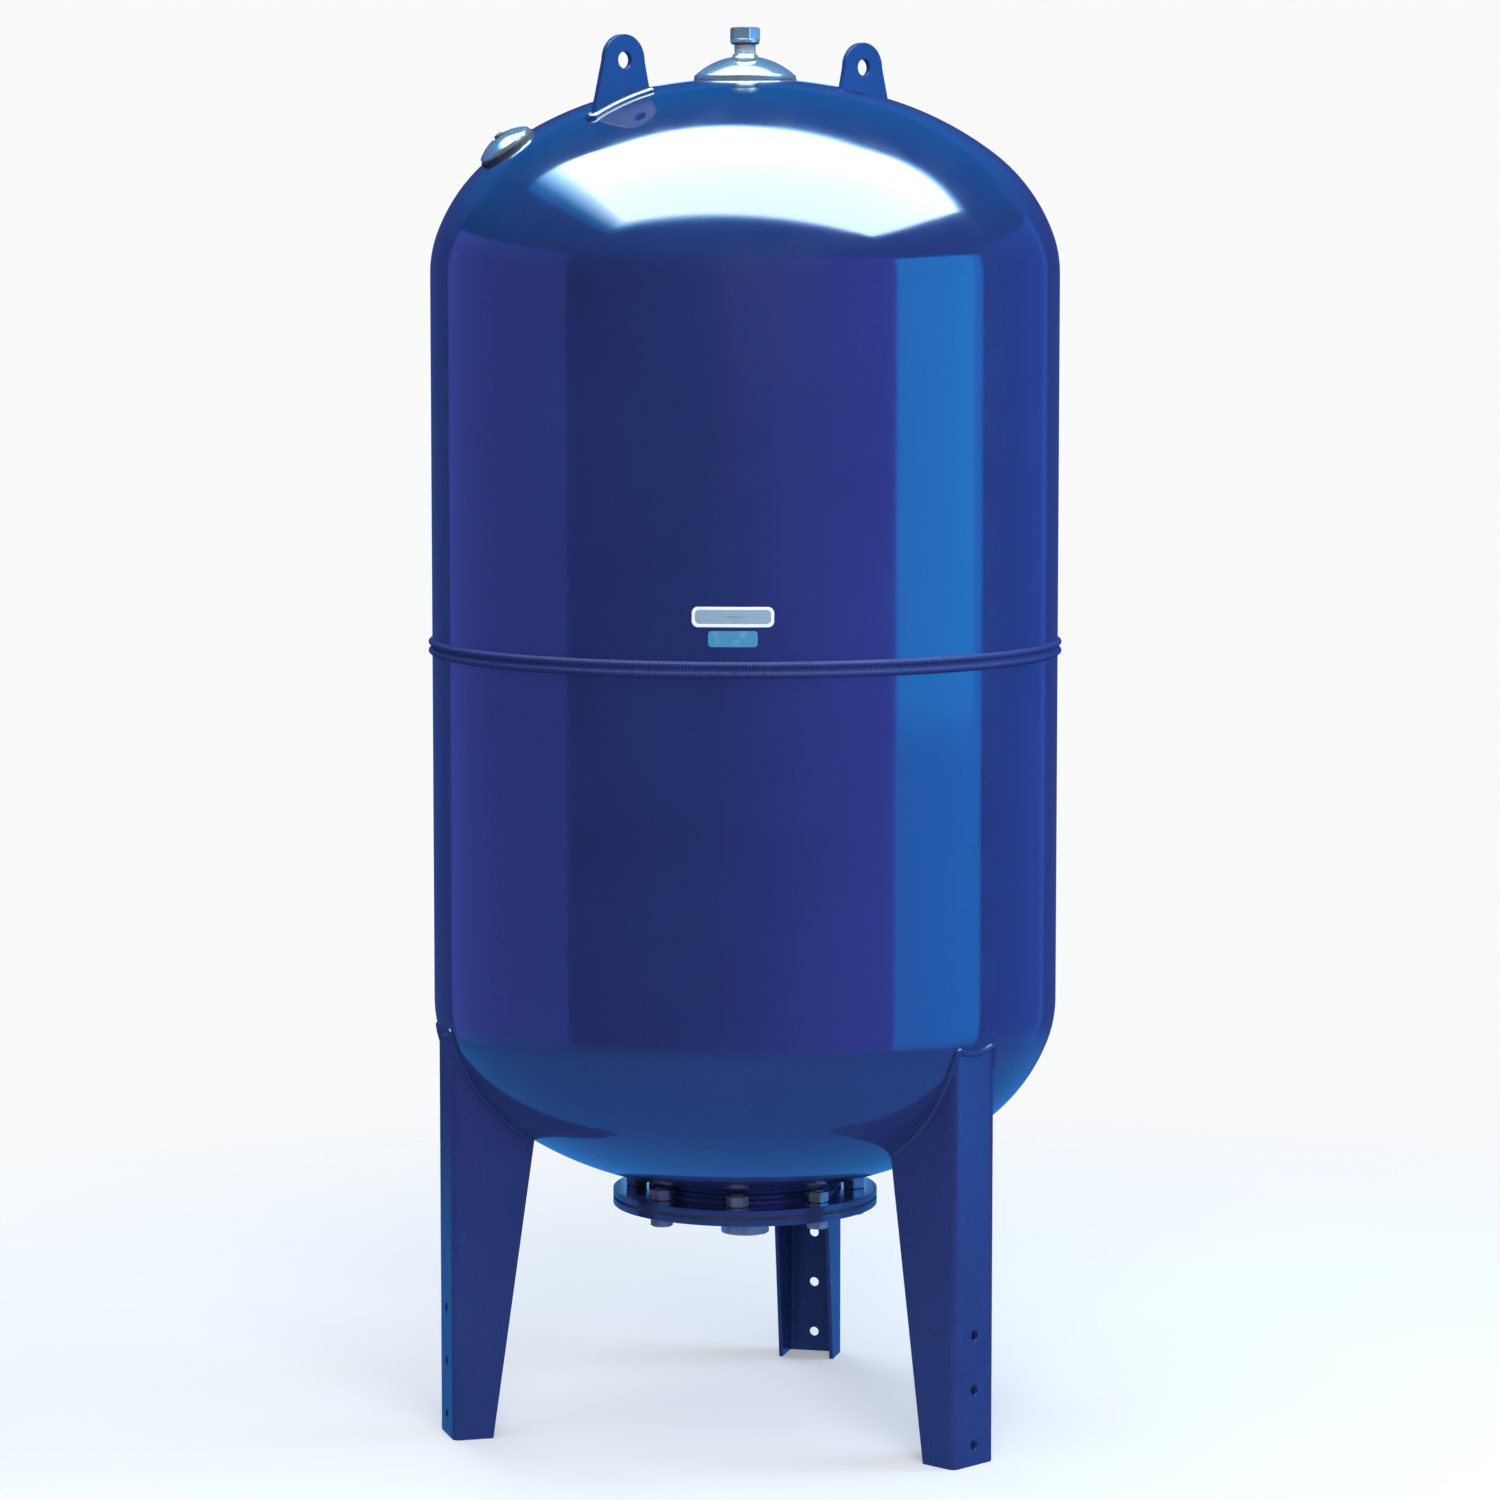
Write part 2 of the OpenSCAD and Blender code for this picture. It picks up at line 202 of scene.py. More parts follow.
def paint(name, base=(0.0172, 0.0282, 0.132), deep=(0.0145, 0.0236, 0.114), wavy=0.0, ripples=0, rough=0.13, peel=0.10, dust=0.03, coat=1.0, coat_rough=0.035, spec=0.5, coat_ior=1.6):
    """Glossy enamel over steel: a coat with orange peel, faint cloudiness, hair scratches and settled dust."""
    m, nt, out = nodes_of(name)
    p = nt.nodes.new("ShaderNodeBsdfPrincipled")
    link(nt, p.outputs[0], out.inputs[0])
    v = coords(nt)
    cloud = noise(nt, v, 5.0, 4.0, 0.55)
    col = ramp(nt, cloud, [(0.3, deep), (0.7, base)])
    fine = noise(nt, v, 260.0, 3.0, 0.6)
    col = mix(nt, remap(nt, fine, 0.0, 0.10), col, (base[0] * 1.7, base[1] * 1.6, base[2] * 1.25))
    geo = nt.nodes.new("ShaderNodeNewGeometry")
    sep = nt.nodes.new("ShaderNodeSeparateXYZ")
    link(nt, geo.outputs["Normal"], sep.inputs[0])
    flat = remap(nt, sep.outputs["Z"], 0.0, 1.0, 0.75, 1.0)
    speck = remap(nt, noise(nt, v, 55.0, 6.0, 0.7), 0.0, 1.0, 0.48, 0.75)
    settled = math_node(nt, "MULTIPLY", math_node(nt, "MULTIPLY", flat, speck), dust)
    col = mix(nt, settled, col, (0.30, 0.31, 0.33))
    link(nt, col, p.inputs["Base Color"])
    streak = noise(nt, coords(nt, (1.0, 1.0, 0.06)), 420.0, 2.0, 0.5)
    hair = remap(nt, streak, 0.0, 0.05, 0.62, 0.74)
    r = math_node(nt, "ADD", remap(nt, noise(nt, v, 14.0, 5.0, 0.6), rough - 0.03, rough + 0.05), hair)
    r = math_node(nt, "ADD", r, math_node(nt, "MULTIPLY", settled, 2.0))
    link(nt, r, p.inputs["Roughness"])
    p.inputs["Specular IOR Level"].default_value = spec
    p.inputs["Coat Weight"].default_value = coat
    p.inputs["Coat Roughness"].default_value = coat_rough
    p.inputs["Coat IOR"].default_value = coat_ior
    n = bump(nt, noise(nt, v, 480.0, 2.0, 0.5), peel, 0.0003)
    if wavy:
        n = bump(nt, noise(nt, coords(nt, (1.0, 1.0, 0.55)), 7.0, 1.0, 0.4), wavy, 0.004, n)
    if ripples:
        tc = nt.nodes.new("ShaderNodeTexCoord")
        s = nt.nodes.new("ShaderNodeSeparateXYZ")
        link(nt, tc.outputs["Object"], s.inputs[0])
        ang = math_node(nt, "ARCTAN2", s.outputs["Y"], s.outputs["X"])
        wob = math_node(nt, "MULTIPLY", noise(nt, v, 30.0, 2.0), 6.0)
        wave = math_node(nt, "SINE", math_node(nt, "ADD", math_node(nt, "MULTIPLY", ang, float(ripples)), wob))
        n = bump(nt, wave, 0.35, 0.0006, n)
    link(nt, n, p.inputs["Normal"])
    link(nt, n, p.inputs["Coat Normal"])
    return m


def metal(name, colour, dark, rough=0.2, spread=0.08, scale=60.0, grain=500.0, stretch=(1.0, 1.0, 1.0), strength=0.12, tarnish=0.25, metallic=1.0):
    """Bare or plated metal: cloudy tone, tarnish in patches, fine grain in the roughness and the relief."""
    m, nt, out = nodes_of(name)
    p = nt.nodes.new("ShaderNodeBsdfPrincipled")
    link(nt, p.outputs[0], out.inputs[0])
    p.inputs["Metallic"].default_value = metallic
    v = coords(nt)
    g = coords(nt, stretch)
    patch = remap(nt, noise(nt, v, scale, 5.0, 0.62, 0.3), 0.0, tarnish, 0.45, 0.72)
    col = mix(nt, patch, colour, dark)
    fine = noise(nt, g, grain, 4.0, 0.6)
    col = mix(nt, remap(nt, fine, 0.0, 0.18), col, dark)
    link(nt, col, p.inputs["Base Color"])
    r = math_node(nt, "ADD", remap(nt, noise(nt, v, scale * 0.7, 4.0, 0.6), rough - spread / 2, rough + spread / 2), remap(nt, fine, 0.0, spread))
    link(nt, r, p.inputs["Roughness"])
    n = bump(nt, fine, strength, 0.0002)
    n = bump(nt, noise(nt, v, scale * 2.5, 2.0), strength, 0.0003, n)
    link(nt, n, p.inputs["Normal"])
    return m


def polymer(name, colour, worn, rough=0.5, scale=90.0, strength=0.25, grain=900.0, dust=0.10):
    """Rubber or plastic: moulded grain, scuffs that lighten and roughen the skin, and a little dust."""
    m, nt, out = nodes_of(name)
    p = nt.nodes.new("ShaderNodeBsdfPrincipled")
    link(nt, p.outputs[0], out.inputs[0])
    v = coords(nt)
    scuff = remap(nt, noise(nt, v, scale, 5.0, 0.65), 0.0, 1.0, 0.5, 0.75)
    col = mix(nt, scuff, colour, worn)
    fine = noise(nt, v, grain, 3.0, 0.6)
    col = mix(nt, remap(nt, fine, 0.0, dust), col, worn)
    link(nt, col, p.inputs["Base Color"])
    r = math_node(nt, "ADD", remap(nt, fine, rough - 0.06, rough + 0.06), math_node(nt, "MULTIPLY", scuff, 0.12))
    link(nt, r, p.inputs["Roughness"])
    n = bump(nt, fine, strength, 0.0002)
    link(nt, n, p.inputs["Normal"])
    return m


M_SHELL = paint("shell_paint", wavy=0.10, dust=0.012)
M_SEAM = paint("seam_paint", ripples=620, rough=0.50, peel=0.12, dust=0.01, coat=0.08, coat_rough=0.35, spec=0.22)
M_LEG = paint("leg_paint", base=(0.018, 0.029, 0.135), deep=(0.015, 0.024, 0.115), rough=0.24, peel=0.14, dust=0.015, coat=0.35, coat_rough=0.08, spec=0.3)
# Same blue enamel as the shell, made a brighter azure: painted reflected light of the blue strip, used on the lugs and
# the bosses
M_AZURE_LIT_PAINT = paint("azure_lit_paint", base=(0.004, 0.044, 0.185), deep=(0.003, 0.037, 0.160), rough=0.42, peel=0.16, dust=0.0, coat=0.22, coat_rough=0.25, spec=0.15)
M_BEAD = paint("bead_paint", base=(0.012, 0.036, 0.165), deep=(0.010, 0.030, 0.142), rough=0.2, peel=0.1, dust=0.0, coat=1.0, coat_rough=0.10)
M_FLANGE = paint("flange_paint", base=(0.016, 0.028, 0.125), deep=(0.013, 0.022, 0.10), rough=0.22, peel=0.22, coat_rough=0.07)
M_CHROME = metal("chrome", (0.50, 0.64, 0.66), (0.34, 0.46, 0.49), 0.13, 0.06, 45.0, 700.0, strength=0.05, metallic=0.75)
M_ZINC = metal("zinc_plate", (0.40, 0.41, 0.42), (0.20, 0.20, 0.20), 0.34, 0.12, 120.0, 900.0, strength=0.2, tarnish=0.5, metallic=0.75)
M_STEEL = metal("turned_steel", (0.50, 0.50, 0.50), (0.24, 0.22, 0.20), 0.33, 0.12, 80.0, 900.0, (0.15, 0.15, 1.0), strength=0.25, tarnish=0.5, metallic=0.75)
M_BRASS = metal("brass", (0.72, 0.55, 0.26), (0.38, 0.26, 0.11), 0.27, 0.10, 150.0, 1500.0, strength=0.12, tarnish=0.45)
M_RUBBER = polymer("seal_rubber", (0.014, 0.014, 0.015), (0.05, 0.05, 0.05), 0.62)
M_BAG = polymer("bag_rubber", (0.02, 0.02, 0.021), (0.06, 0.058, 0.055), 0.72, 25.0, 0.4, 300.0)
M_CAPS = polymer("cap_plastic", (0.012, 0.013, 0.015), (0.05, 0.05, 0.055), 0.42, 160.0, 0.15, 1500.0)
M_WHITE = polymer("label_white", (0.86, 0.89, 0.92), (0.70, 0.74, 0.80), 0.26, 60.0, 0.06, 900.0, 0.12)
M_GREY = polymer("label_panel", (0.27, 0.38, 0.47), (0.21, 0.31, 0.39), 0.30, 70.0, 0.06, 900.0, 0.12)
M_TEAL = polymer("label_teal", (0.055, 0.25, 0.43), (0.11, 0.33, 0.48), 0.24, 60.0, 0.06, 900.0, 0.12)


# ---------------------------------------------------------------- mesh helpers (millimetres in, metres out)
def fillet(pts, rad, seg=3, closed=True):
    """Rounds the corners of a polyline. rad is one number or one for each corner."""
    n = len(pts)
    rads = rad if isinstance(rad, (list, tuple)) else [rad] * n
    out = []
    for i, c in enumerate(pts):
        if not closed and i in (0, n - 1) or rads[i] <= 0:
            out.append(tuple(c))
            continue
        a, b = pts[i - 1], pts[(i + 1) % n]
        la, lb = math.dist(a, c), math.dist(b, c)
        ua = ((a[0] - c[0]) / la, (a[1] - c[1]) / la)
        ub = ((b[0] - c[0]) / lb, (b[1] - c[1]) / lb)
        ang = math.acos(max(-1.0, min(1.0, ua[0] * ub[0] + ua[1] * ub[1])))
        if ang > math.pi - 0.02:
            out.append(tuple(c))
            continue
        d = min(rads[i] / math.tan(ang / 2), la * 0.48, lb * 0.48)
        p0 = (c[0] + ua[0] * d, c[1] + ua[1] * d)
        p2 = (c[0] + ub[0] * d, c[1] + ub[1] * d)
        for k in range(seg + 1):
            t = k / seg
            out.append(tuple((1 - t) ** 2 * p0[j] + 2 * t * (1 - t) * c[j] + t * t * p2[j] for j in (0, 1)))
    return out


def loft(rings, wrap=False):
    """Faces between rings of points. A ring of one point is a pole."""
    verts, start = [], []
    for r in rings:
        start.append(len(verts))
        verts += r
    faces = []
    pairs = [(i, i + 1) for i in range(len(rings) - 1)] + ([(len(rings) - 1, 0)] if wrap else [])
    for i, j in pairs:
        a, b = rings[i], rings[j]
        n = max(len(a), len(b))
        for k in range(n):
            q = (k + 1) % n
            if len(a) == 1:
                faces.append((start[i], start[j] + k, start[j] + q))
            elif len(b) == 1:
                faces.append((start[i] + k, start[j], start[i] + q))
            else:
                faces.append((start[i] + k, start[j] + k, start[j] + q, start[i] + q))
    return verts, faces


def lathe(profile, n=96, closed=True, disp=None):
    """Turned solid from a profile of (r, z). disp(i, r, z, angle) gives a change of radius."""
    rings = []
    for i, (r, z) in enumerate(profile):
        if r < 1e-6:
            rings.append([(0.0, 0.0, z)])
            continue
        ring = []
        for k in range(n):
            a = TAU * k / n
            q = r + (disp(i, r, z, a) if disp else 0.0)
            ring.append((q * math.cos(a), q * math.sin(a), z))
        rings.append(ring)
    return loft(rings, closed)


def thread(pitch, depth):
    """Change of radius of a V thread that turns right-handed about +Z."""
    def d(z, a):
        t = (z / pitch - a / TAU) % 1.0
        v = abs(2 * t - 1)
        return -depth * max(0.0, min(1.0, (v - 0.08) / 0.84))
    return d


def hex_r(af, a, vertex_at_zero=False, cut=0.985):
    off = 0.0 if vertex_at_zero else math.pi / 6
    r = af / 2 / math.cos((a + off) % (math.pi / 3) - math.pi / 6)
    return min(r, af / 2 / math.cos(math.pi / 6) * cut)


def hex_ring(af, z, n, vz, r_cut=None, up=0):
    """Ring on the hexagon, lowered (up=1) or raised (up=-1) along a 30 degree cone that starts at r_cut."""
    ring = []
    for k in range(n):
        a = TAU * k / n
        r = hex_r(af, a, vz)
        zz = z - up * max(0.0, r - r_cut) * math.tan(math.radians(30)) if up else z
        ring.append((r * math.cos(a), r * math.sin(a), zz))
    return ring


def circle_ring(r, z, n):
    return [(r * math.cos(TAU * k / n), r * math.sin(TAU * k / n), z) for k in range(n)] if r > 1e-6 else [(0.0, 0.0, z)]


def tube(path, rad, sides=12, ripple=0.0, period=4.0, closed=False, squash=1.0):
    """Bead or wire along a path, with weld ripples if asked, and rounded ends."""
    P = [Vector(p) for p in path]
    n = len(P)
    rings = []
    length = 0.0
    up = None
    for i in range(n):
        a = P[i - 1] if (i or closed) else P[i]
        b = P[(i + 1) % n] if (i < n - 1 or closed) else P[i]
        t = (b - a).normalized()
        if up is None:
            ref = Vector((0, 0, 1)) if abs(t.z) < 0.9 else Vector((1, 0, 0))
            up = (ref - t * ref.dot(t)).normalized()
        else:
            up = (up - t * up.dot(t)).normalized()
        side = t.cross(up)
        if i:
            length += (P[i] - P[i - 1]).length
        f = 1.0
        if not closed:
            e = min(i, n - 1 - i)
            f = min(1.0, math.sqrt(max(0.0, 1 - (1 - min(1.0, e / 4.0)) ** 2)) + 0.02)
        q = rad * f * (1 + ripple * (abs(math.sin(math.pi * length / period)) - 0.6))
        rings.append([tuple(P[i] + up * (q * math.cos(TAU * k / sides)) + side * (q * squash * math.sin(TAU * k / sides))) for k in range(sides)])
    if closed:
        return loft(rings, True)
    return loft([[tuple(P[0])]] + rings + [[tuple(P[-1])]])


def join(*parts):
    verts, faces = [], []
    for v, f in parts:
        o = len(verts)
        verts += list(v)
        faces += [tuple(i + o for i in g) for g in f]
    return verts, faces


def moved(part, mat):
    v, f = part
    return [tuple(mat @ Vector(p)) for p in v], f


def make(name, part, material, body="root", nodes=None, sharp=32.0, mat=None, bevel=0.0, weighted=True, weld=False, extra=None):
    """Puts the mesh in the scene in metres, in the frame, shades it, hides the CAD node it stands for, and ties it to
    its body.
    """
    verts, faces = moved(part, mat) if mat is not None else part
    me = bpy.data.meshes.new(name)
    me.from_pydata([(x * 0.001, y * 0.001, z * 0.001) for x, y, z in verts], [], faces)
    me.materials.append(material)
    if extra:
        me.materials.append(extra[0])
        for i in extra[1]:
            me.polygons[i].material_index = 1
    bm = bmesh.new()
    bm.from_mesh(me)
    if weld:
        bmesh.ops.remove_doubles(bm, verts=bm.verts, dist=2e-6)
    bmesh.ops.recalc_face_normals(bm, faces=bm.faces)
    if bevel:
        edges = [e for e in bm.edges if len(e.link_faces) == 2 and e.calc_face_angle(0.0) > math.radians(50)]
        bmesh.ops.bevel(bm, geom=edges, offset=bevel * 0.001, offset_type="OFFSET", segments=3, profile=0.5, affect="EDGES", clamp_overlap=True)
    bm.to_mesh(me)
    bm.free()
    me.shade_smooth()
    me.set_sharp_from_angle(angle=math.radians(sharp))
    ob = bpy.data.objects.new(name, me)
    scene.collection.objects.link(ob)
    if weighted:
        w = ob.modifiers.new("even_shading", "WEIGHTED_NORMAL")
        w.keep_sharp = True
        w.weight = 60
    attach(ob, body)
    if nodes:
        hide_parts(*nodes)
    return ob


def zrot(a):
    return Matrix.Rotation(math.radians(a), 4, "Z")


# ---------------------------------------------------------------- shell halves
def shell_profile(sign, tan, hole):
    outer = [(r, tan + sign * h) for r, h in head_arc(hole, 0.0, 9.0)]
    inner = [(r, tan + sign * h) for r, h in head_arc(hole, WALL, 12.0)]
    outer[0] = (hole, outer[0][1])
    inner[0] = (hole, inner[0][1])
    steps = 16
    wall_out = [(R, tan + (SEAM - tan) * i / steps) for i in range(1, steps + 1)]
    wall_in = [(R - WALL, tan + (SEAM - tan) * i / steps) for i in range(steps, 0, -1)]
    return outer + wall_out + wall_in + inner[::-1]


valve_joint = [j for j in record["behaviour"]["joints"] if j["name"] == "cap_turn"][0]
V_N = Vector(valve_joint["axis"]).normalized()
V_O = Vector(valve_joint["pos_m"]) * 1000 - V_N * 14.0
V_AZ = math.degrees(math.atan2(V_N.y, V_N.x))
V_TILT = math.degrees(math.acos(V_N.z))
AT_VALVE = Matrix.Translation(V_O) @ zrot(V_AZ) @ Matrix.Rotation(math.radians(V_TILT), 4, "Y")

upper = make("upper_shell_skin", lathe(shell_profile(1, UP_TAN, 45.0), 256), M_SHELL, nodes=["upper_shell"], weighted=False)
cut_v, cut_f = loft([circle_ring(0, -20, 48), circle_ring(13, -20, 48), circle_ring(13, 20, 48), circle_ring(0, 20, 48)])
cut_me = bpy.data.meshes.new("valve_hole")
cut_me.from_pydata([tuple(AT_VALVE @ Vector(p) * 0.001) for p in cut_v], [], cut_f)
cut_ob = bpy.data.objects.new("valve_hole", cut_me)
scene.collection.objects.link(cut_ob)
bm = bmesh.new()
bm.from_mesh(cut_me)
bmesh.ops.recalc_face_normals(bm, faces=bm.faces)
bm.to_mesh(cut_me)
bm.free()
mod = upper.modifiers.new("hole", "BOOLEAN")
mod.operation = "DIFFERENCE"
mod.solver = "EXACT"
mod.object = cut_ob
bpy.context.view_layer.update()
cut_result = bpy.data.meshes.new_from_object(upper.evaluated_get(bpy.context.evaluated_depsgraph_get()))
upper.modifiers.clear()
upper.data = cut_result
upper.data.name = "upper_shell_skin"
upper.data.shade_smooth()
upper.data.set_sharp_from_angle(angle=math.radians(32))
bpy.data.objects.remove(cut_ob, do_unlink=True)
make("lower_shell_skin", lathe(shell_profile(-1, LO_TAN, 112.0), 256), M_SHELL, nodes=["lower_shell"], weighted=False)

# girth seam: a lapped band with a rolled ridge along each edge
g_lo, g_hi = mmbox("girth_weld")
G = (g_hi[2] - g_lo[2]) / 2
GP = g_hi[0] - R
seam = [(R - 1.0, SEAM - G), (R + 0.9, SEAM - G)]
for s in (-1, 1):
    zc = SEAM + s * (G - 4.2)
    arc = [(R + GP - 3 + 3 * math.cos(math.radians(b)), zc + 3 * math.sin(math.radians(b))) for b in range(-70, 71, 14)]
    if s == 1:
        seam += [(R + 1.9, SEAM - 1.6), (R + 1.6, SEAM), (R + 1.9, SEAM + 1.6)]
    seam += arc
seam += [(R + 0.9, SEAM + G), (R - 1.0, SEAM + G)]
make("girth_seam", lathe(fillet(seam, 0.8, 2), 288), M_SEAM, nodes=["girth_weld"], weighted=False)


# ---------------------------------------------------------------- legs
def leg_part():
    xo = R - 3.0
    hw, t, rb = 35.5, 5.0, 8.0
    foot, taper = 49.0, 0.145
    cols = []
    fl = [1.0, 0.8, 0.6, 0.4, 0.2]
    nb, nw = 7, 8
    for f in fl:
        cols.append(("f", -1, f))
    for i in range(nb):
        cols.append(("b", -1, i / nb))
    for i in range(nw + 1):
        cols.append(("w", 0, -1 + 2 * i / nw))
    for i in range(nb - 1, -1, -1):
        cols.append(("b", 1, i / nb))
    for f in fl[::-1]:
        cols.append(("f", 1, f))

    def point(c, inner, z):
        kind, s, f = c
        if kind == "f":
            tip = xo - foot - taper * z
            return (xo - rb) * (1 - f) + tip * f, s * (hw - (t if inner else 0))
        rr = rb - t if inner else rb
        if kind == "b":
            a = f * math.pi / 2
            return xo - rb + rr * math.sin(a), s * (hw - rb + rr * math.cos(a))
        return xo - (t if inner else 0), f * (hw - rb)

    def top(c, inner):
        lo, hi = 250.0, 520.0
        for _ in range(50):
            z = (lo + hi) / 2
            x, y = point(c, inner, z)
            if z < LO_TAN - head_at(min(math.hypot(x, y), R))[0]:
                lo = z
            else:
                hi = z
        return (lo + hi) / 2

    holes = [25.0, 90.0, 155.0]
    levels = [0.0]
    for h in holes:
        levels += [h - 20 + 5 * i for i in range(9)]
    levels.append(192.0)
    base_n = len(levels)
    ups = 18
    grid, tops = {}, {}
    verts, faces = [], []
    for side in (0, 1):
        for ci, c in enumerate(cols):
            zt = top(c, side)
            tops[(side, ci)] = zt
            zs = levels + [192.0 + (zt - 192.0) * i / ups for i in range(1, ups + 1)]
            for li, z in enumerate(zs):
                x, y = point(c, side, z)
                grid[(side, ci, li)] = len(verts)
                verts.append((x, y, z))
    nl = base_n + ups
    nc = len(cols)
    w0 = len(fl) + nb
    patch = []
    for h in holes:
        k = levels.index(h - 20)
        patch.append((k, k + 8, h))

    def in_patch(ci, li):
        return w0 <= ci < w0 + nw and any(a <= li < b for a, b, _ in patch)

    for side in (0, 1):
        for ci in range(nc - 1):
            for li in range(nl - 1):
                if not in_patch(ci, li):
                    faces.append((grid[(side, ci, li)], grid[(side, ci + 1, li)], grid[(side, ci + 1, li + 1)], grid[(side, ci, li + 1)]))
    for ci in range(nc - 1):
        for li in (0, nl - 1):
            faces.append((grid[(0, ci, li)], grid[(0, ci + 1, li)], grid[(1, ci + 1, li)], grid[(1, ci, li)]))
    for ci in (0, nc - 1):
        for li in range(nl - 1):
            faces.append((grid[(0, ci, li)], grid[(0, ci, li + 1)], grid[(1, ci, li + 1)], grid[(1, ci, li)]))
    for a, b, h in patch:
        rim = [(w0 + i, a) for i in range(nw)] + [(w0 + nw, a + i) for i in range(8)] + [(w0 + nw - i, b) for i in range(nw)] + [(w0, b - i) for i in range(8)]
        loops = []
        for side in (0, 1):
            outer = [grid[(side, c, l)] for c, l in rim]
            rings = [outer]
            for rr in (9.5, 6.0):
                ring = []
                for g in outer:
                    x, y, z = verts[g]
                    d = math.hypot(y, z - h)
                    ring.append(len(verts))
                    verts.append((x, y / d * rr, h + (z - h) / d * rr))
                rings.append(ring)
            for p, q in zip(rings, rings[1:]):
                for i in range(32):
                    j = (i + 1) % 32
                    faces.append((p[i], p[j], q[j], q[i]))
            loops.append(rings[-1])
        for i in range(32):
            j = (i + 1) % 32
            faces.append((loops[0][i], loops[0][j], loops[1][j], loops[1][i]))

    def weld_path(side, lift):
        pts = []
        for ci, c in enumerate(cols):
            z = tops[(side, ci)]
            x, y = point(c, side, z)
            pts.append(Vector((x, y, z)))
        dense = []
        for p, q in zip(pts, pts[1:]):
            m = max(1, int((q - p).length / 1.2))
            for i in range(m):
                w = p.lerp(q, i / m)
                r = min(math.hypot(w.x, w.y), R)
                w.z = LO_TAN - head_at(r)[0] - lift
                dense.append(w)
        dense.append(pts[-1])
        return dense

    return (verts, faces), tube(weld_path(0, 0.6), 4.4, 12, 0.10, 4.2), tube(weld_path(1, 0.6), 3.4, 10, 0.10, 3.8)


leg_mesh, bead_out, bead_in = leg_part()
for node in ("leg_rear", "leg_left", "leg_right"):
    lo, hi = mmbox(node)
    az = math.degrees(math.atan2((lo[1] + hi[1]) / 2, (lo[0] + hi[0]) / 2))
    az = min((90, 210, 330), key=lambda a: abs((a - az + 180) % 360 - 180))
    make(node + "_channel", leg_mesh, M_LEG, nodes=[node], mat=zrot(az), bevel=0.8, weld=True, sharp=35)
    make(node + "_weld", join(bead_out, bead_in), M_LEG, mat=zrot(az), weighted=False, sharp=80)


# ---------------------------------------------------------------- lifting lugs
def lug_part():
    rc, zc, rad, rh, t = 188.0, 1634.0, 30.0, 10.0, 8.0

    def crown(r):
        return UP_TAN + head_at(r)[0]

    def hit(x0, z0, x1, z1):
        lo, hi = 0.0, 1.0
        for _ in range(40):
            m = (lo + hi) / 2
            x, z = x0 + (x1 - x0) * m, z0 + (z1 - z0) * m
            if z > crown(x):
                lo = m
            else:
                hi = m
        return x0 + (x1 - x0) * lo, z0 + (z1 - z0) * lo

    bl = hit(rc - rad, zc, rc - 47, CROWN - 60)
    br = hit(rc + rad, zc, rc + 47, CROWN - 50)
    if br[1] < CROWN - 50 + 1e-6:
        br = (rc + 47, crown(rc + 47))
    line = []
    for i in range(33):
        a = math.pi * i / 32
        line.append((rc + rad * math.cos(a), zc + rad * math.sin(a)))
    for i in range(1, 9):
        line.append((rc - rad + (bl[0] - rc + rad) * i / 8, zc + (bl[1] - zc) * i / 8))
    for i in range(1, 25):
        x = bl[0] + (br[0] - bl[0]) * i / 24
        line.append((x, crown(x) - 0.6))
    for i in range(1, 8):
        line.append((br[0] + (rc + rad - br[0]) * i / 8, br[1] + (zc - br[1]) * i / 8))
    n = len(line)
    rings = []
    for side in (-1, 1):
        y = side * t / 2
        outer = [(x, y, z) for x, z in line]
        hole, mid = [], []
        for x, z in line:
            d = math.hypot(x - rc, z - zc)
            hole.append((rc + (x - rc) / d * rh, y, zc + (z - zc) / d * rh))
            mid.append((rc + (x - rc) / d * (rh + 3.5), y, zc + (z - zc) / d * (rh + 3.5)))
        rings += [hole, mid, outer] if side < 0 else [outer, mid, hole]
    plate = loft(rings, True)
    path = []
    xs = [bl[0] - 1.0 + (br[0] - bl[0] + 2.0) * i / 76 for i in range(77)]
    for x in xs:
        path.append((x, -t / 2 - 0.8, crown(x) + 0.8))
    for i in range(1, 7):
        path.append((xs[-1] + 0.8, -t / 2 + t * i / 7, crown(xs[-1]) + 0.8))
    for x in xs[::-1]:
        path.append((x, t / 2 + 0.8, crown(x) + 0.8))
    for i in range(1, 7):
        path.append((xs[0] - 0.8, t / 2 - t * i / 7, crown(xs[0]) + 0.8))
    return plate, tube(path, 4.6, 12, 0.10, 4.2, closed=True)


lug_mesh, lug_bead = lug_part()
for node, az in (("lifting_lug_left", 235), ("lifting_lug_right", 55)):
    make(node + "_plate", lug_mesh, M_AZURE_LIT_PAINT, nodes=[node], mat=zrot(az), bevel=1.0, sharp=35)
    make(node + "_weld", lug_bead, M_BEAD, mat=zrot(az), weighted=False, sharp=80)


# ---------------------------------------------------------------- bottom flange
BOLT_AZ, BOLTS, PCD = 10.0, 8, 132.0


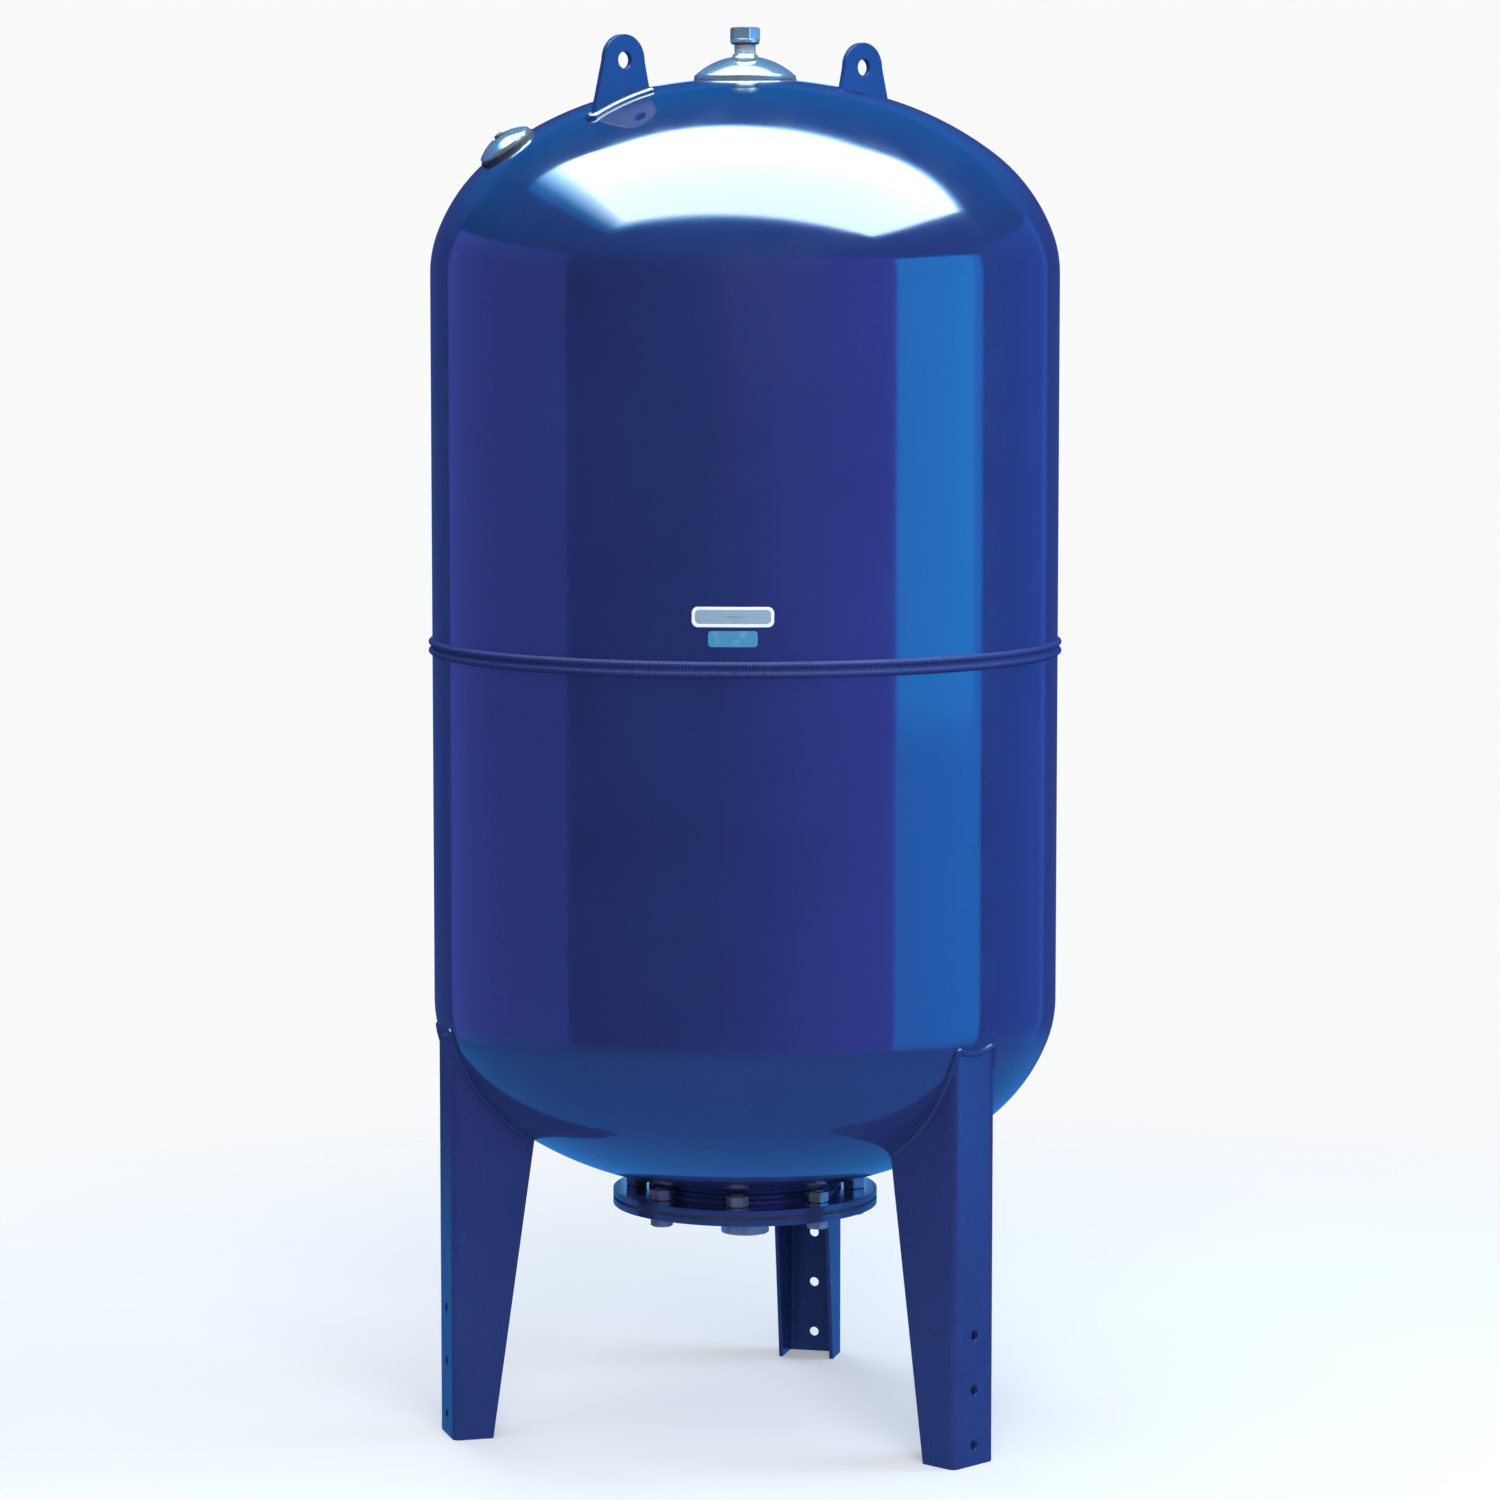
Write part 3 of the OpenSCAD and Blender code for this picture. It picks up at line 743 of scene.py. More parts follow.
def flange_part(ri, ro, z0, z1, rh, inner_open=True):
    """Flange ring with its bolt holes, in quads."""
    half = 180.0 / BOLTS
    verts, faces = [], []
    nu, nv = 16, 8
    for b in range(BOLTS):
        a0 = BOLT_AZ + b * 360.0 / BOLTS
        rim = [(-half + 2 * half * i / nu, ri) for i in range(nu)] + [(half, ri + (ro - ri) * i / nv) for i in range(nv)]
        rim += [(half - 2 * half * i / nu, ro) for i in range(nu)] + [(-half, ro + (ri - ro) * i / nv) for i in range(nv)]
        n = len(rim)
        hx, hy = PCD * math.cos(math.radians(a0)), PCD * math.sin(math.radians(a0))
        sets = []
        for z in (z0, z1):
            outer = []
            for da, r in rim:
                a = math.radians(a0 + da)
                outer.append((r * math.cos(a), r * math.sin(a), z))
            rings = [outer]
            for rr in (rh + 3.0, rh):
                ring = []
                for x, y, _ in outer:
                    d = math.hypot(x - hx, y - hy)
                    ring.append((hx + (x - hx) / d * rr, hy + (y - hy) / d * rr, z))
                rings.append(ring)
            idx = []
            for ring in rings:
                idx.append(list(range(len(verts), len(verts) + n)))
                verts += ring
            for p, q in zip(idx, idx[1:]):
                for i in range(n):
                    j = (i + 1) % n
                    faces.append((p[i], p[j], q[j], q[i]))
            sets.append(idx)
        for i in range(n):
            j = (i + 1) % n
            faces.append((sets[0][2][i], sets[0][2][j], sets[1][2][j], sets[1][2][i]))
        for lo_i, hi_i in ((0, nu), (nu + nv, 2 * nu + nv)):
            for i in range(lo_i, hi_i):
                j = (i + 1) % n
                faces.append((sets[0][0][i], sets[0][0][j], sets[1][0][j], sets[1][0][i]))
    return verts, faces


nf_lo, nf_hi = mmbox("neck_flange")
cf_lo, cf_hi = mmbox("counter_flange")
FL_TOP, FL_MID, FL_LOW, FL_BOT = nf_hi[2], nf_lo[2], cf_hi[2], cf_lo[2]
RO = nf_hi[0]
make("neck_flange_ring", flange_part(112.0, RO, FL_MID, FL_TOP, 9.0), M_FLANGE, nodes=["neck_flange"], bevel=0.7, weld=True, sharp=35)
make("counter_flange_plate", flange_part(29.0, RO, FL_BOT, FL_LOW, 9.0), M_FLANGE, nodes=["counter_flange"], bevel=0.7, weld=True, sharp=35)


def ring_bead(r, z, rad, ripple=0.10, period=4.2, n=None):
    n = n or int(TAU * r / 1.3)
    return tube([(r * math.cos(TAU * i / n), r * math.sin(TAU * i / n), z) for i in range(n)], rad, 10, ripple, period, closed=True)


neck_top = LO_TAN - head_at(112.0)[0]
neck = lathe(fillet([(112, FL_MID), (112, neck_top + 3), (104, neck_top + 3), (104, FL_MID)], 0.6, 2), 160)
make("neck_tube_wall", join(neck, ring_bead(112.6, FL_TOP + 0.6, 4.2), ring_bead(112.6, neck_top - 0.4, 4.4)), M_FLANGE, nodes=["neck_tube"], sharp=60)

# water socket with its internal thread
ws_lo, ws_hi = mmbox("water_socket")
S_BOT, S_TOP, S_RO, S_RI = ws_lo[2], ws_hi[2], 29.0, 22.3
t_in = thread(2.309, 1.35)
inner, flags = [], []
z = S_TOP - 1.8
while z > S_BOT + 1.8:
    inner.append((S_RI, z))
    z -= 2.309 / 6
prof = [(S_RI, S_BOT + 1.8), (S_RI + 1.7, S_BOT), (S_RO - 1.0, S_BOT), (S_RO, S_BOT + 1.0), (S_RO, S_TOP - 1.0), (S_RO - 1.0, S_TOP), (S_RI + 1.7, S_TOP), (S_RI, S_TOP - 1.8)]
n_plain = len(prof)
prof += inner
t_fn = lambda i, r, z, a: -t_in(z, a) * min(1.0, (S_TOP - 1.8 - z) / 2.0, max(0.0, (z - S_BOT - 1.8)) / 2.0) if i >= n_plain else 0.0
make("water_socket_body", join(lathe(prof, 96, True, t_fn), ring_bead(29.3, FL_BOT - 0.4, 3.4)), M_STEEL, nodes=["water_socket"], sharp=50, weighted=False)


def bolt_part():
    n = 72
    ap = 12.0
    rings = [circle_ring(0, -12.6, n), circle_ring(ap * 0.55, -12.6, n), circle_ring(ap * 0.62, -13, n), circle_ring(ap * 0.93, -13, n)]
    rings.append(hex_ring(24, -13, n, False, ap * 0.93, -1))
    rings.append(hex_ring(24, -3.5, n, False))
    rings += [circle_ring(ap * 0.97, -3.5, n), circle_ring(ap * 0.95, -3.0, n), circle_ring(8.4, -3.0, n), circle_ring(8.0, -2.6, n)]
    top = FL_TOP + 15 - FL_BOT
    rings += [circle_ring(8.0, z, n) for z in (2.0, 10.0)]
    t = thread(2.0, 0.9)
    z = 10.0
    while z < top - 1.4:
        f = min(1.0, (z - 10.0) / 3.0)
        rings.append([((8.0 + f * t(z, TAU * k / n)) * math.cos(TAU * k / n), (8.0 + f * t(z, TAU * k / n)) * math.sin(TAU * k / n), z) for k in range(n)])
        z += 0.4
    rings += [circle_ring(7.6, top - 1.0, n), circle_ring(6.6, top, n), circle_ring(0, top, n)]
    return loft(rings)


def nut_part(h, af, ri, vz=False, n=72):
    ap = af / 2
    rings = [circle_ring(ri, 0.9, n), circle_ring(ri + 0.9, 0.25, n), circle_ring(ap * 0.93, 0, n), hex_ring(af, 0, n, vz, ap * 0.93, -1)]
    rings += [hex_ring(af, h, n, vz, ap * 0.93, 1), circle_ring(ap * 0.93, h, n), circle_ring(ri + 0.9, h - 0.25, n), circle_ring(ri, h - 0.9, n)]
    return loft(rings, True)


def around(part, z):
    out = []
    for b in range(BOLTS):
        out.append(moved(part, zrot(BOLT_AZ + b * 45.0) @ Matrix.Translation((PCD, 0, z))))
    return join(*out)


make("flange_bolt_set", around(bolt_part(), FL_BOT), M_ZINC, nodes=["flange_bolts"], sharp=28, weighted=False)
make("flange_washer_set", around(lathe(fillet([(8.5, -3), (15, -3), (15, 0), (8.5, 0)], 0.35, 2), 64), FL_BOT), M_ZINC, nodes=["flange_washers"])
make("flange_nut_set", around(nut_part(13, 24, 8.0), FL_TOP), M_ZINC, nodes=["flange_nuts"], sharp=28, weighted=False)

# ---------------------------------------------------------------- top fitting
tb_lo, tb_hi = mmbox("top_boss")
make("top_boss_ring", join(lathe(fillet([(13.6, tb_lo[2]), (45, tb_lo[2]), (45, tb_hi[2]), (13.6, tb_hi[2])], 0.8, 2), 128), ring_bead(45.4, CROWN - 1.4, 3.0)), M_AZURE_LIT_PAINT, nodes=["top_boss"], sharp=60)

mh_lo, mh_hi = mmbox("membrane_hanger")
z0, z1 = mh_lo[2], mh_hi[2]
t_out = thread(1.814, 1.0)
stem = []
z = z0 + 24.0
while z < z1 - 1.6:
    stem.append((13.2, z))
    z += 1.814 / 6
prof = [(9.6, z0), (37.0, z0), (38.0, z0 + 1), (38.0, z0 + 5), (37.0, z0 + 6), (14.4, z0 + 6), (13.2, z0 + 7.2), (13.2, z0 + 22)]
n0 = len(prof)
prof += stem
n1 = len(prof)
prof += [(12.9, z1 - 1.0), (12.0, z1), (10.2, z1), (9.6, z1 - 0.6)]
fn = lambda i, r, z, a: t_out(z, a) * min(1.0, (z - z0 - 24.0) / 3.0, (z1 - 1.6 - z) / 1.5) if n0 <= i < n1 else 0.0
make("membrane_hanger_stem", lathe(prof, 96, True, fn), M_STEEL, nodes=["membrane_hanger"], sharp=50, weighted=False)
hw_lo, hw_hi = mmbox("hanger_washer")
make("hanger_washer_ring", lathe(fillet([(13.6, hw_lo[2]), (22, hw_lo[2]), (22, hw_hi[2]), (13.6, hw_hi[2])], 0.35, 2), 96), M_ZINC, nodes=["hanger_washer"])
hn_lo, hn_hi = mmbox("hanger_nut")
make("hanger_nut_body", nut_part(hn_hi[2] - hn_lo[2], 40, 13.2, True, 96), M_ZINC, nodes=["hanger_nut"], mat=Matrix.Translation((0, 0, hn_lo[2])), sharp=28, weighted=False)

tc_lo, tc_hi = mmbox("top_cover")
CR, CH, CT = tc_hi[0], 24.0, 1.6
cz0 = tc_lo[2]
rs = (CR * CR + CH * CH) / (2 * CH)
cc = cz0 + 4 + CH - rs


def dome(rad, r_from, r_to, centre, n=28):
    a0, a1 = math.asin(min(1.0, r_from / rad)), math.asin(min(1.0, r_to / rad))
    return [(rad * math.sin(a0 + (a1 - a0) * i / n), centre + rad * math.cos(a0 + (a1 - a0) * i / n)) for i in range(n + 1)]


cover = [(CR - 0.5, cz0), (CR, cz0 + 0.5), (CR, cz0 + 3.2), (CR - 0.25, cz0 + 4.2)]
cover += dome(rs, CR - 1.2, 17.2, cc)
cover += [(15.9, cz0 + 4 + CH - 1.45), (15.1, cz0 + 4 + CH - 0.9), (14.9, cz0 + 4 + CH), (14.9, cz0 + 29.0), (14.6, cz0 + 29.5), (13.6, cz0 + 29.5), (13.35, cz0 + 29.0), (13.35, cz0 + 25.4)]
cover += dome(rs - CT, 13.9, CR - CT - 0.6, cc)
cover += [(CR - CT, cz0 + 3.4), (CR - CT, cz0 + 0.5), (CR - CT + 0.4, cz0)]
make("top_cover_dome", lathe(cover, 160), M_CHROME, nodes=["top_cover"], sharp=50, weighted=False)
sl = lambda r: UP_TAN + head_at(r)[0]
seal = [(CR - 3, sl(CR - 3) - 0.3), (CR + 1.5, sl(CR + 1.5) - 0.3), (CR + 1.5, cz0 - 0.8), (CR + 0.9, cz0), (CR - 3, cz0)]
make("top_cover_gasket", lathe(fillet(seal, 0.5, 3), 160), M_RUBBER, nodes=["top_cover_seal"])

ps_lo, ps_hi = mmbox("plug_seal")
make("plug_seal_ring", lathe(fillet([(9.6, ps_lo[2]), (16.5, ps_lo[2]), (16.5, ps_hi[2]), (9.6, ps_hi[2])], 0.6, 4), 96), M_RUBBER, body="plug_seal", nodes=["plug_seal"])

vp_lo, vp_hi = mmbox("vent_plug")
pz, pt = ps_hi[2], vp_hi[2]
n = 96
t_p = thread(1.814, 0.8)
rings = [circle_ring(0, vp_lo[2] + 0.4, n), circle_ring(6.0, vp_lo[2] + 0.4, n), circle_ring(6.6, vp_lo[2], n), circle_ring(8.0, vp_lo[2], n), circle_ring(8.9, vp_lo[2] + 0.9, n)]
z = vp_lo[2] + 1.2
while z < pz - 2.0:
    f = min(1.0, (z - vp_lo[2] - 1.2) / 1.5, (pz - 2.0 - z) / 1.5)
    rings.append([((9.3 + f * t_p(z, TAU * k / n)) * math.cos(TAU * k / n), (9.3 + f * t_p(z, TAU * k / n)) * math.sin(TAU * k / n), z) for k in range(n)])
    z += 1.814 / 6
rings += [circle_ring(8.7, pz - 1.4, n), circle_ring(8.7, pz, n), circle_ring(16.9, pz, n), circle_ring(17.35, pz + 0.2, n), circle_ring(17.5, pz + 0.7, n), circle_ring(17.5, pz + 3.2, n), circle_ring(17.3, pz + 3.8, n), circle_ring(16.8, pz + 4.0, n)]
rings += [hex_ring(32 * 0.985, pz + 4.0, n, True), hex_ring(32, pz + 4.35, n, True), hex_ring(32, pt, n, True, 15.1, 1)]
rings += [circle_ring(15.1, pt, n), circle_ring(14.6, pt, n), circle_ring(8.6, pt, n), circle_ring(8.0, pt - 0.5, n), circle_ring(3.0, pt - 0.5, n), circle_ring(0, pt - 0.5, n)]
make("vent_plug_body", loft(rings), M_CHROME, body="vent_plug", nodes=["vent_plug"], sharp=26, weighted=False)

# ---------------------------------------------------------------- air valve, in its own frame
make("valve_boss_ring", join(lathe(fillet([(5.6, -9), (13, -9), (13, 3), (5.6, 3)], 0.7, 2), 72), ring_bead(13.4, 0.2, 2.4, 0.1, 3.4, 90)), M_AZURE_LIT_PAINT, nodes=["valve_boss"], mat=AT_VALVE, sharp=60)
gs = [(29, -3.0), (36, -3.6), (36, 2.2), (35.2, 3), (29, 3)]
make("valve_guard_gasket", lathe(fillet(gs, [0.3, 0.3, 0.5, 0.5, 0.5], 3), 128), M_RUBBER, nodes=["valve_guard_seal"], mat=AT_VALVE)
gh = 11.0
grs = (34 ** 2 + gh * gh) / (2 * gh)
gc = 7 + gh - grs
guard = [(33.5, 3), (34, 3.5), (34, 6.0), (33.7, 7.1)] + dome(grs, 32.9, 10.6, gc, 22)
guard += [(9.8, gc + grs - 0.75), (9.15, gc + grs - 1.15), (9.0, gc + grs - 1.8), (9.35, gc + grs - 2.45), (10.2, gc + grs - 2.4)]
guard += dome(grs - 1.6, 11.4, 31.9, gc, 20) + [(32.4, 6.2), (32.4, 3.5), (32.8, 3)]
make("valve_guard_dome", lathe(guard, 128), M_CHROME, nodes=["valve_guard"], mat=AT_VALVE, sharp=55, weighted=False)

n = 72
tv = thread(0.79375, 0.35)
rings = [circle_ring(1.4, -20, n), circle_ring(5.1, -20, n), circle_ring(5.6, -19.5, n), circle_ring(5.6, 3, n)]
rings += [circle_ring(5.7, 3, n), hex_ring(12, 3, n, True, 5.7, -1), hex_ring(12, 7, n, True, 5.6, 1), circle_ring(5.6, 7, n), circle_ring(4.2, 7, n), circle_ring(3.85, 7.3, n)]
z = 7.4
while z < 16.2:
    rings.append([((3.85 + tv(z, TAU * k / n)) * math.cos(TAU * k / n), (3.85 + tv(z, TAU * k / n)) * math.sin(TAU * k / n), z) for k in range(n)])
    z += 0.79375 / 5
rings += [circle_ring(3.5, 16.5, n), circle_ring(3.1, 17, n), circle_ring(1.9, 17, n), circle_ring(1.6, 16.7, n), circle_ring(1.6, 8, n), circle_ring(2.6, 8, n), circle_ring(2.6, -6.3, n), circle_ring(1.4, -6.3, n)]
make("valve_stem_body", loft(rings, True), M_BRASS, nodes=["valve_stem"], mat=AT_VALVE, sharp=28, weighted=False)
pin = [(0, -14), (0.6, -14), (0.9, -13.6), (0.9, 4.0), (1.9, 4.0), (2.2, 4.3), (2.2, 5.5), (1.9, 5.8), (0.9, 5.8), (0.9, 16.1), (0.7, 16.45), (0.35, 16.6), (0, 16.6)]
make("valve_pin_rod", lathe(pin, 40, False), M_BRASS, body="valve_pin", nodes=["valve_pin"], mat=AT_VALVE, sharp=50)
steps = 5 * 36
helix = [(1.75 * math.cos(TAU * i / 36), 1.75 * math.sin(TAU * i / 36), -5.9 + 9.5 * i / steps) for i in range(steps + 1)]
spring = make("valve_spring_coil", tube(helix, 0.3, 10), M_STEEL, nodes=["valve_spring"], mat=AT_VALVE, sharp=80, weighted=False)
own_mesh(spring)
make("valve_cap_disc", lathe(fillet([(1.3, 17), (4.0, 17), (4.0, 18.0), (1.3, 18.0)], 0.25, 3), 64), M_RUBBER, body="valve_cap_seal", nodes=["valve_cap_seal"], mat=AT_VALVE)
cap = [(0, 20.0), (3.6, 20.0), (4.9, 19.75), (5.6, 19.2), (5.95, 18.3)] + [(5.95, 18.0 - 0.9 * i) for i in range(10)] + [(6.2, 9.4), (6.2, 8.0), (5.9, 7.6), (4.5, 7.6), (4.15, 8.0), (4.15, 18.2), (0, 18.2)]
knurl = lambda i, r, z, a: 0.22 * (abs(math.sin(13 * a)) - 0.5) * 2 if 4 <= i <= 14 else 0.0
make("valve_cap_body", lathe(cap, 208, False, knurl), M_CAPS, body="valve_cap", nodes=["valve_cap"], mat=AT_VALVE, sharp=40, weighted=False)


# ---------------------------------------------------------------- plain label
def label_part(node, w, h, rc, t, az, inset=0.0):
    lo, hi = mmbox(node)
    zc = (lo[2] + hi[2]) / 2
    out = []
    for cx, cy, a0 in ((w / 2 - rc, h / 2 - rc, 0), (-w / 2 + rc, h / 2 - rc, 90), (-w / 2 + rc, -h / 2 + rc, 180), (w / 2 - rc, -h / 2 + rc, 270)):
        for i in range(13):
            a = math.radians(a0 + 90 * i / 12)
            out.append((cx + rc * math.cos(a), cy + rc * math.sin(a)))
        if a0 in (0, 180):
            s = 1 if a0 == 0 else -1
            for i in range(1, 24):
                out.append((s * (w / 2 - rc) - s * (w - 2 * rc) * i / 24, s * h / 2))

    def ring(d, depth):
        pts = []
        sx, sy = (w / 2 - d) / (w / 2), (h / 2 - d) / (h / 2)
        for u, v in out:
            a = math.radians(az) + u * sx / R
            r = R + depth
            pts.append((r * math.cos(a), r * math.sin(a), zc + v * sy))
        return pts

    steps = [(0, -0.4), (0, t - 0.3), (0.09, t - 0.13), (0.3, t)]
    mark = None
    if inset:
        steps += [(inset, t), (inset + 0.25, t - 0.22)]
        mark = len(steps) - 1
    d = steps[-1][0]
    top = t - 0.22 if inset else t
    lim = h / 2 - 0.4
    for i in range(1, 6):
        steps.append((d + (lim - d) * i / 5, top))
    rings = [ring(*s) for s in steps]
    m = len(out)
    verts, faces = loft(rings)
    last = (len(rings) - 1) * m
    pairs = [(i, (m - 1 - i)) for i in range(m)]
    faces.append(tuple(last + i for i in range(m)))
    faces.append(tuple(range(m - 1, -1, -1)))
    panel = [k for k in range(len(faces)) if mark is not None and k >= mark * m and k < len(faces) - 1]
    return (verts, faces), panel


part, panel = label_part("label_plate", 93.0, 23.0, 7.0, 1.0, 281.9, 3.2)
make("label_plate_badge", part, M_WHITE, nodes=["label_plate"], extra=(M_GREY, panel), sharp=40)
part, panel = label_part("label_bar", 56.0, 18.0, 4.0, 0.8, 281.9, 0.0)
make("label_bar_badge", part, M_TEAL, nodes=["label_bar"], sharp=40)

# ---------------------------------------------------------------- rubber bag keeps its CAD shape
bag = frame["nodes"]["membrane"]
bag.data.materials.clear()
bag.data.materials.append(M_BAG)

# ---------------------------------------------------------------- floor, light, camera
fm, nt, out = nodes_of("floor_pale")
dif = nt.nodes.new("ShaderNodeBsdfDiffuse")
tr = nt.nodes.new("ShaderNodeBsdfTransparent")
mx = nt.nodes.new("ShaderNodeMixShader")
tc = nt.nodes.new("ShaderNodeTexCoord")
ln = nt.nodes.new("ShaderNodeVectorMath")
ln.operation = "LENGTH"
link(nt, tc.outputs["Object"], ln.inputs[0])
fade = nt.nodes.new("ShaderNodeMapRange")
fade.interpolation_type = "SMOOTHSTEP"
fade.inputs["From Min"].default_value = 0.9
fade.inputs["From Max"].default_value = 2.6
link(nt, ln.outputs["Value"], fade.inputs["Value"])
geo = nt.nodes.new("ShaderNodeNewGeometry")
hide = math_node(nt, "MAXIMUM", fade.outputs["Result"], geo.outputs["Backfacing"])
link(nt, hide, mx.inputs[0])
link(nt, ramp(nt, noise(nt, tc.outputs["Object"], 3.0, 3.0), [(0.3, (0.80, 0.80, 0.80)), (0.7, (0.82, 0.82, 0.82))]), dif.inputs["Color"])
flp = nt.nodes.new("ShaderNodeLightPath")
glow = nt.nodes.new("ShaderNodeEmission")
glow.inputs["Color"].default_value = (1.0, 1.0, 1.0, 1)
glow.inputs["Strength"].default_value = 0.26
add = nt.nodes.new("ShaderNodeAddShader")
link(nt, dif.outputs[0], add.inputs[0])
link(nt, glow.outputs[0], add.inputs[1])
# Glossy rays see the floor as a saturated blue glow instead of its pale colour: a painted reflection on the lower dome
painted_floor_reflection = nt.nodes.new("ShaderNodeEmission")
painted_floor_reflection.inputs["Color"].default_value = (0.05, 0.34, 1.0, 1)
painted_floor_reflection.inputs["Strength"].default_value = 0.62
gm = nt.nodes.new("ShaderNodeMixShader")
link(nt, flp.outputs["Is Glossy Ray"], gm.inputs[0])
link(nt, add.outputs[0], gm.inputs[1])
link(nt, painted_floor_reflection.outputs[0], gm.inputs[2])
link(nt, gm.outputs[0], mx.inputs[1])
link(nt, tr.outputs[0], mx.inputs[2])
link(nt, mx.outputs[0], out.inputs[0])
fme = bpy.data.meshes.new("floor")
fv, ff = loft([circle_ring(0, 0, 96), circle_ring(1500, 0, 96), circle_ring(3200, 0, 96)])
fme.from_pydata([(x * 0.001, y * 0.001, z) for x, y, z in fv], [], ff)
fme.materials.append(fm)
floor = bpy.data.objects.new("floor", fme)
scene.collection.objects.link(floor)
if fme.polygons[0].normal.z < 0:
    fme.flip_normals()


def area(name, pos, target, w, h, radiance, colour=(1, 1, 1), diffuse=True, glossy=True, roll=0.0):
    l = bpy.data.lights.new(name, "AREA")
    l.shape = "RECTANGLE"
    l.size, l.size_y = w, h
    l.energy = radiance * math.pi * w * h
    l.color = colour
    o = bpy.data.objects.new(name, l)
    scene.collection.objects.link(o)
    o.location = pos
    q = (Vector(target) - Vector(pos)).to_track_quat("-Z", "Y")
    o.rotation_mode = "QUATERNION"
    o.rotation_quaternion = q @ Matrix.Rotation(math.radians(roll), 4, "Z").to_quaternion()
    o.visible_camera = False
    o.visible_diffuse = diffuse
    o.visible_glossy = glossy
    o.visible_transmission = False
    return o


def polar(az, dist, z):
    a = math.radians(az)
    return (dist * math.cos(a), dist * math.sin(a), z)


# big overhead softbox, seen as the white patch on the crown, with a paler blue surround
for k in range(7):
    f = k / 6
    area("softbox_top_%d" % k, (0.62 - 0.16 * f, -0.45 - 0.05 * f, 3.36 + 0.012 * k), (0.62 - 0.16 * f, -0.45 - 0.05 * f, 0.0), 4.35 + 0.75 * f, 2.52 + 0.40 * f, (3.6, 1.7, 1.6, 1.4, 1.2, 1.1, 0.9)[k], (1.0 - 0.75 * f, 1.0 - 0.30 * f, 1.0), diffuse=False, roll=6 + 2 * f)
area("softbox_surround", (0.40, -0.56, 3.46), (0.40, -0.56, 0.0), 5.5, 3.1, 1.1, (0.0, 0.40, 1.0), diffuse=False, roll=9)
area("softbox_fill", (0.2, -0.6, 3.6), (0.2, -0.6, 0.0), 4.5, 3.5, 1.5, (0.80, 0.92, 1.0), glossy=False)
# tall blue strip on the right, brighter towards its top
area("strip_right", polar(356, 3.2, 0.75), (0, 0, 0.75), 2.2, 2.7, 2.3, (0.0, 0.30, 1.0), diffuse=False)
area("strip_right_high", polar(354, 3.2, 1.35), (0, 0, 1.35), 1.9, 1.5, 0.9, (0.0, 0.55, 1.0), diffuse=False)
# violet glow that grows from the middle of the front towards the strip
for k in range(6):
    lo_az, hi_az = 276.0 + 9.0 * k, 338.0
    half_az = (hi_az - lo_az) / 2
    area("glow_right_%d" % k, polar(lo_az + half_az, 3.3 + 0.01 * k, 0.8), (0, 0, 0.8), 2 * 3.3 * math.tan(math.radians(half_az)), 2.8, 0.15, (0.12, 0.10, 1.0), diffuse=False)
# dim panel on the left, which gives the faint vertical edge
area("panel_left", polar(185, 3.6, 0.9), (0, 0, 0.9), 4.95, 3.4, 0.60, (0.14, 0.17, 1.0), diffuse=False)
area("panel_right", polar(40, 3.6, 0.9), (0, 0, 0.9), 3.0, 3.4, 0.45, (0.04, 0.18, 1.0), diffuse=False)
# dim panels behind, which keep the outline of the shell from going dark
area("panel_back_left", polar(127, 3.7, 0.9), (0, 0, 0.9), 3.1, 5.0, 0.15, (0.10, 0.22, 1.0), diffuse=False)
area("panel_back_right", polar(81, 3.7, 0.9), (0, 0, 0.9), 3.1, 5.0, 0.18, (0.10, 0.20, 1.0), diffuse=False)
# narrow strip straight behind the vessel, for the back views
area("strip_back", polar(104, 4.2, 0.95), (0, 0, 0.95), 0.5, 2.6, 1.3, (0.15, 0.55, 1.0), diffuse=False)
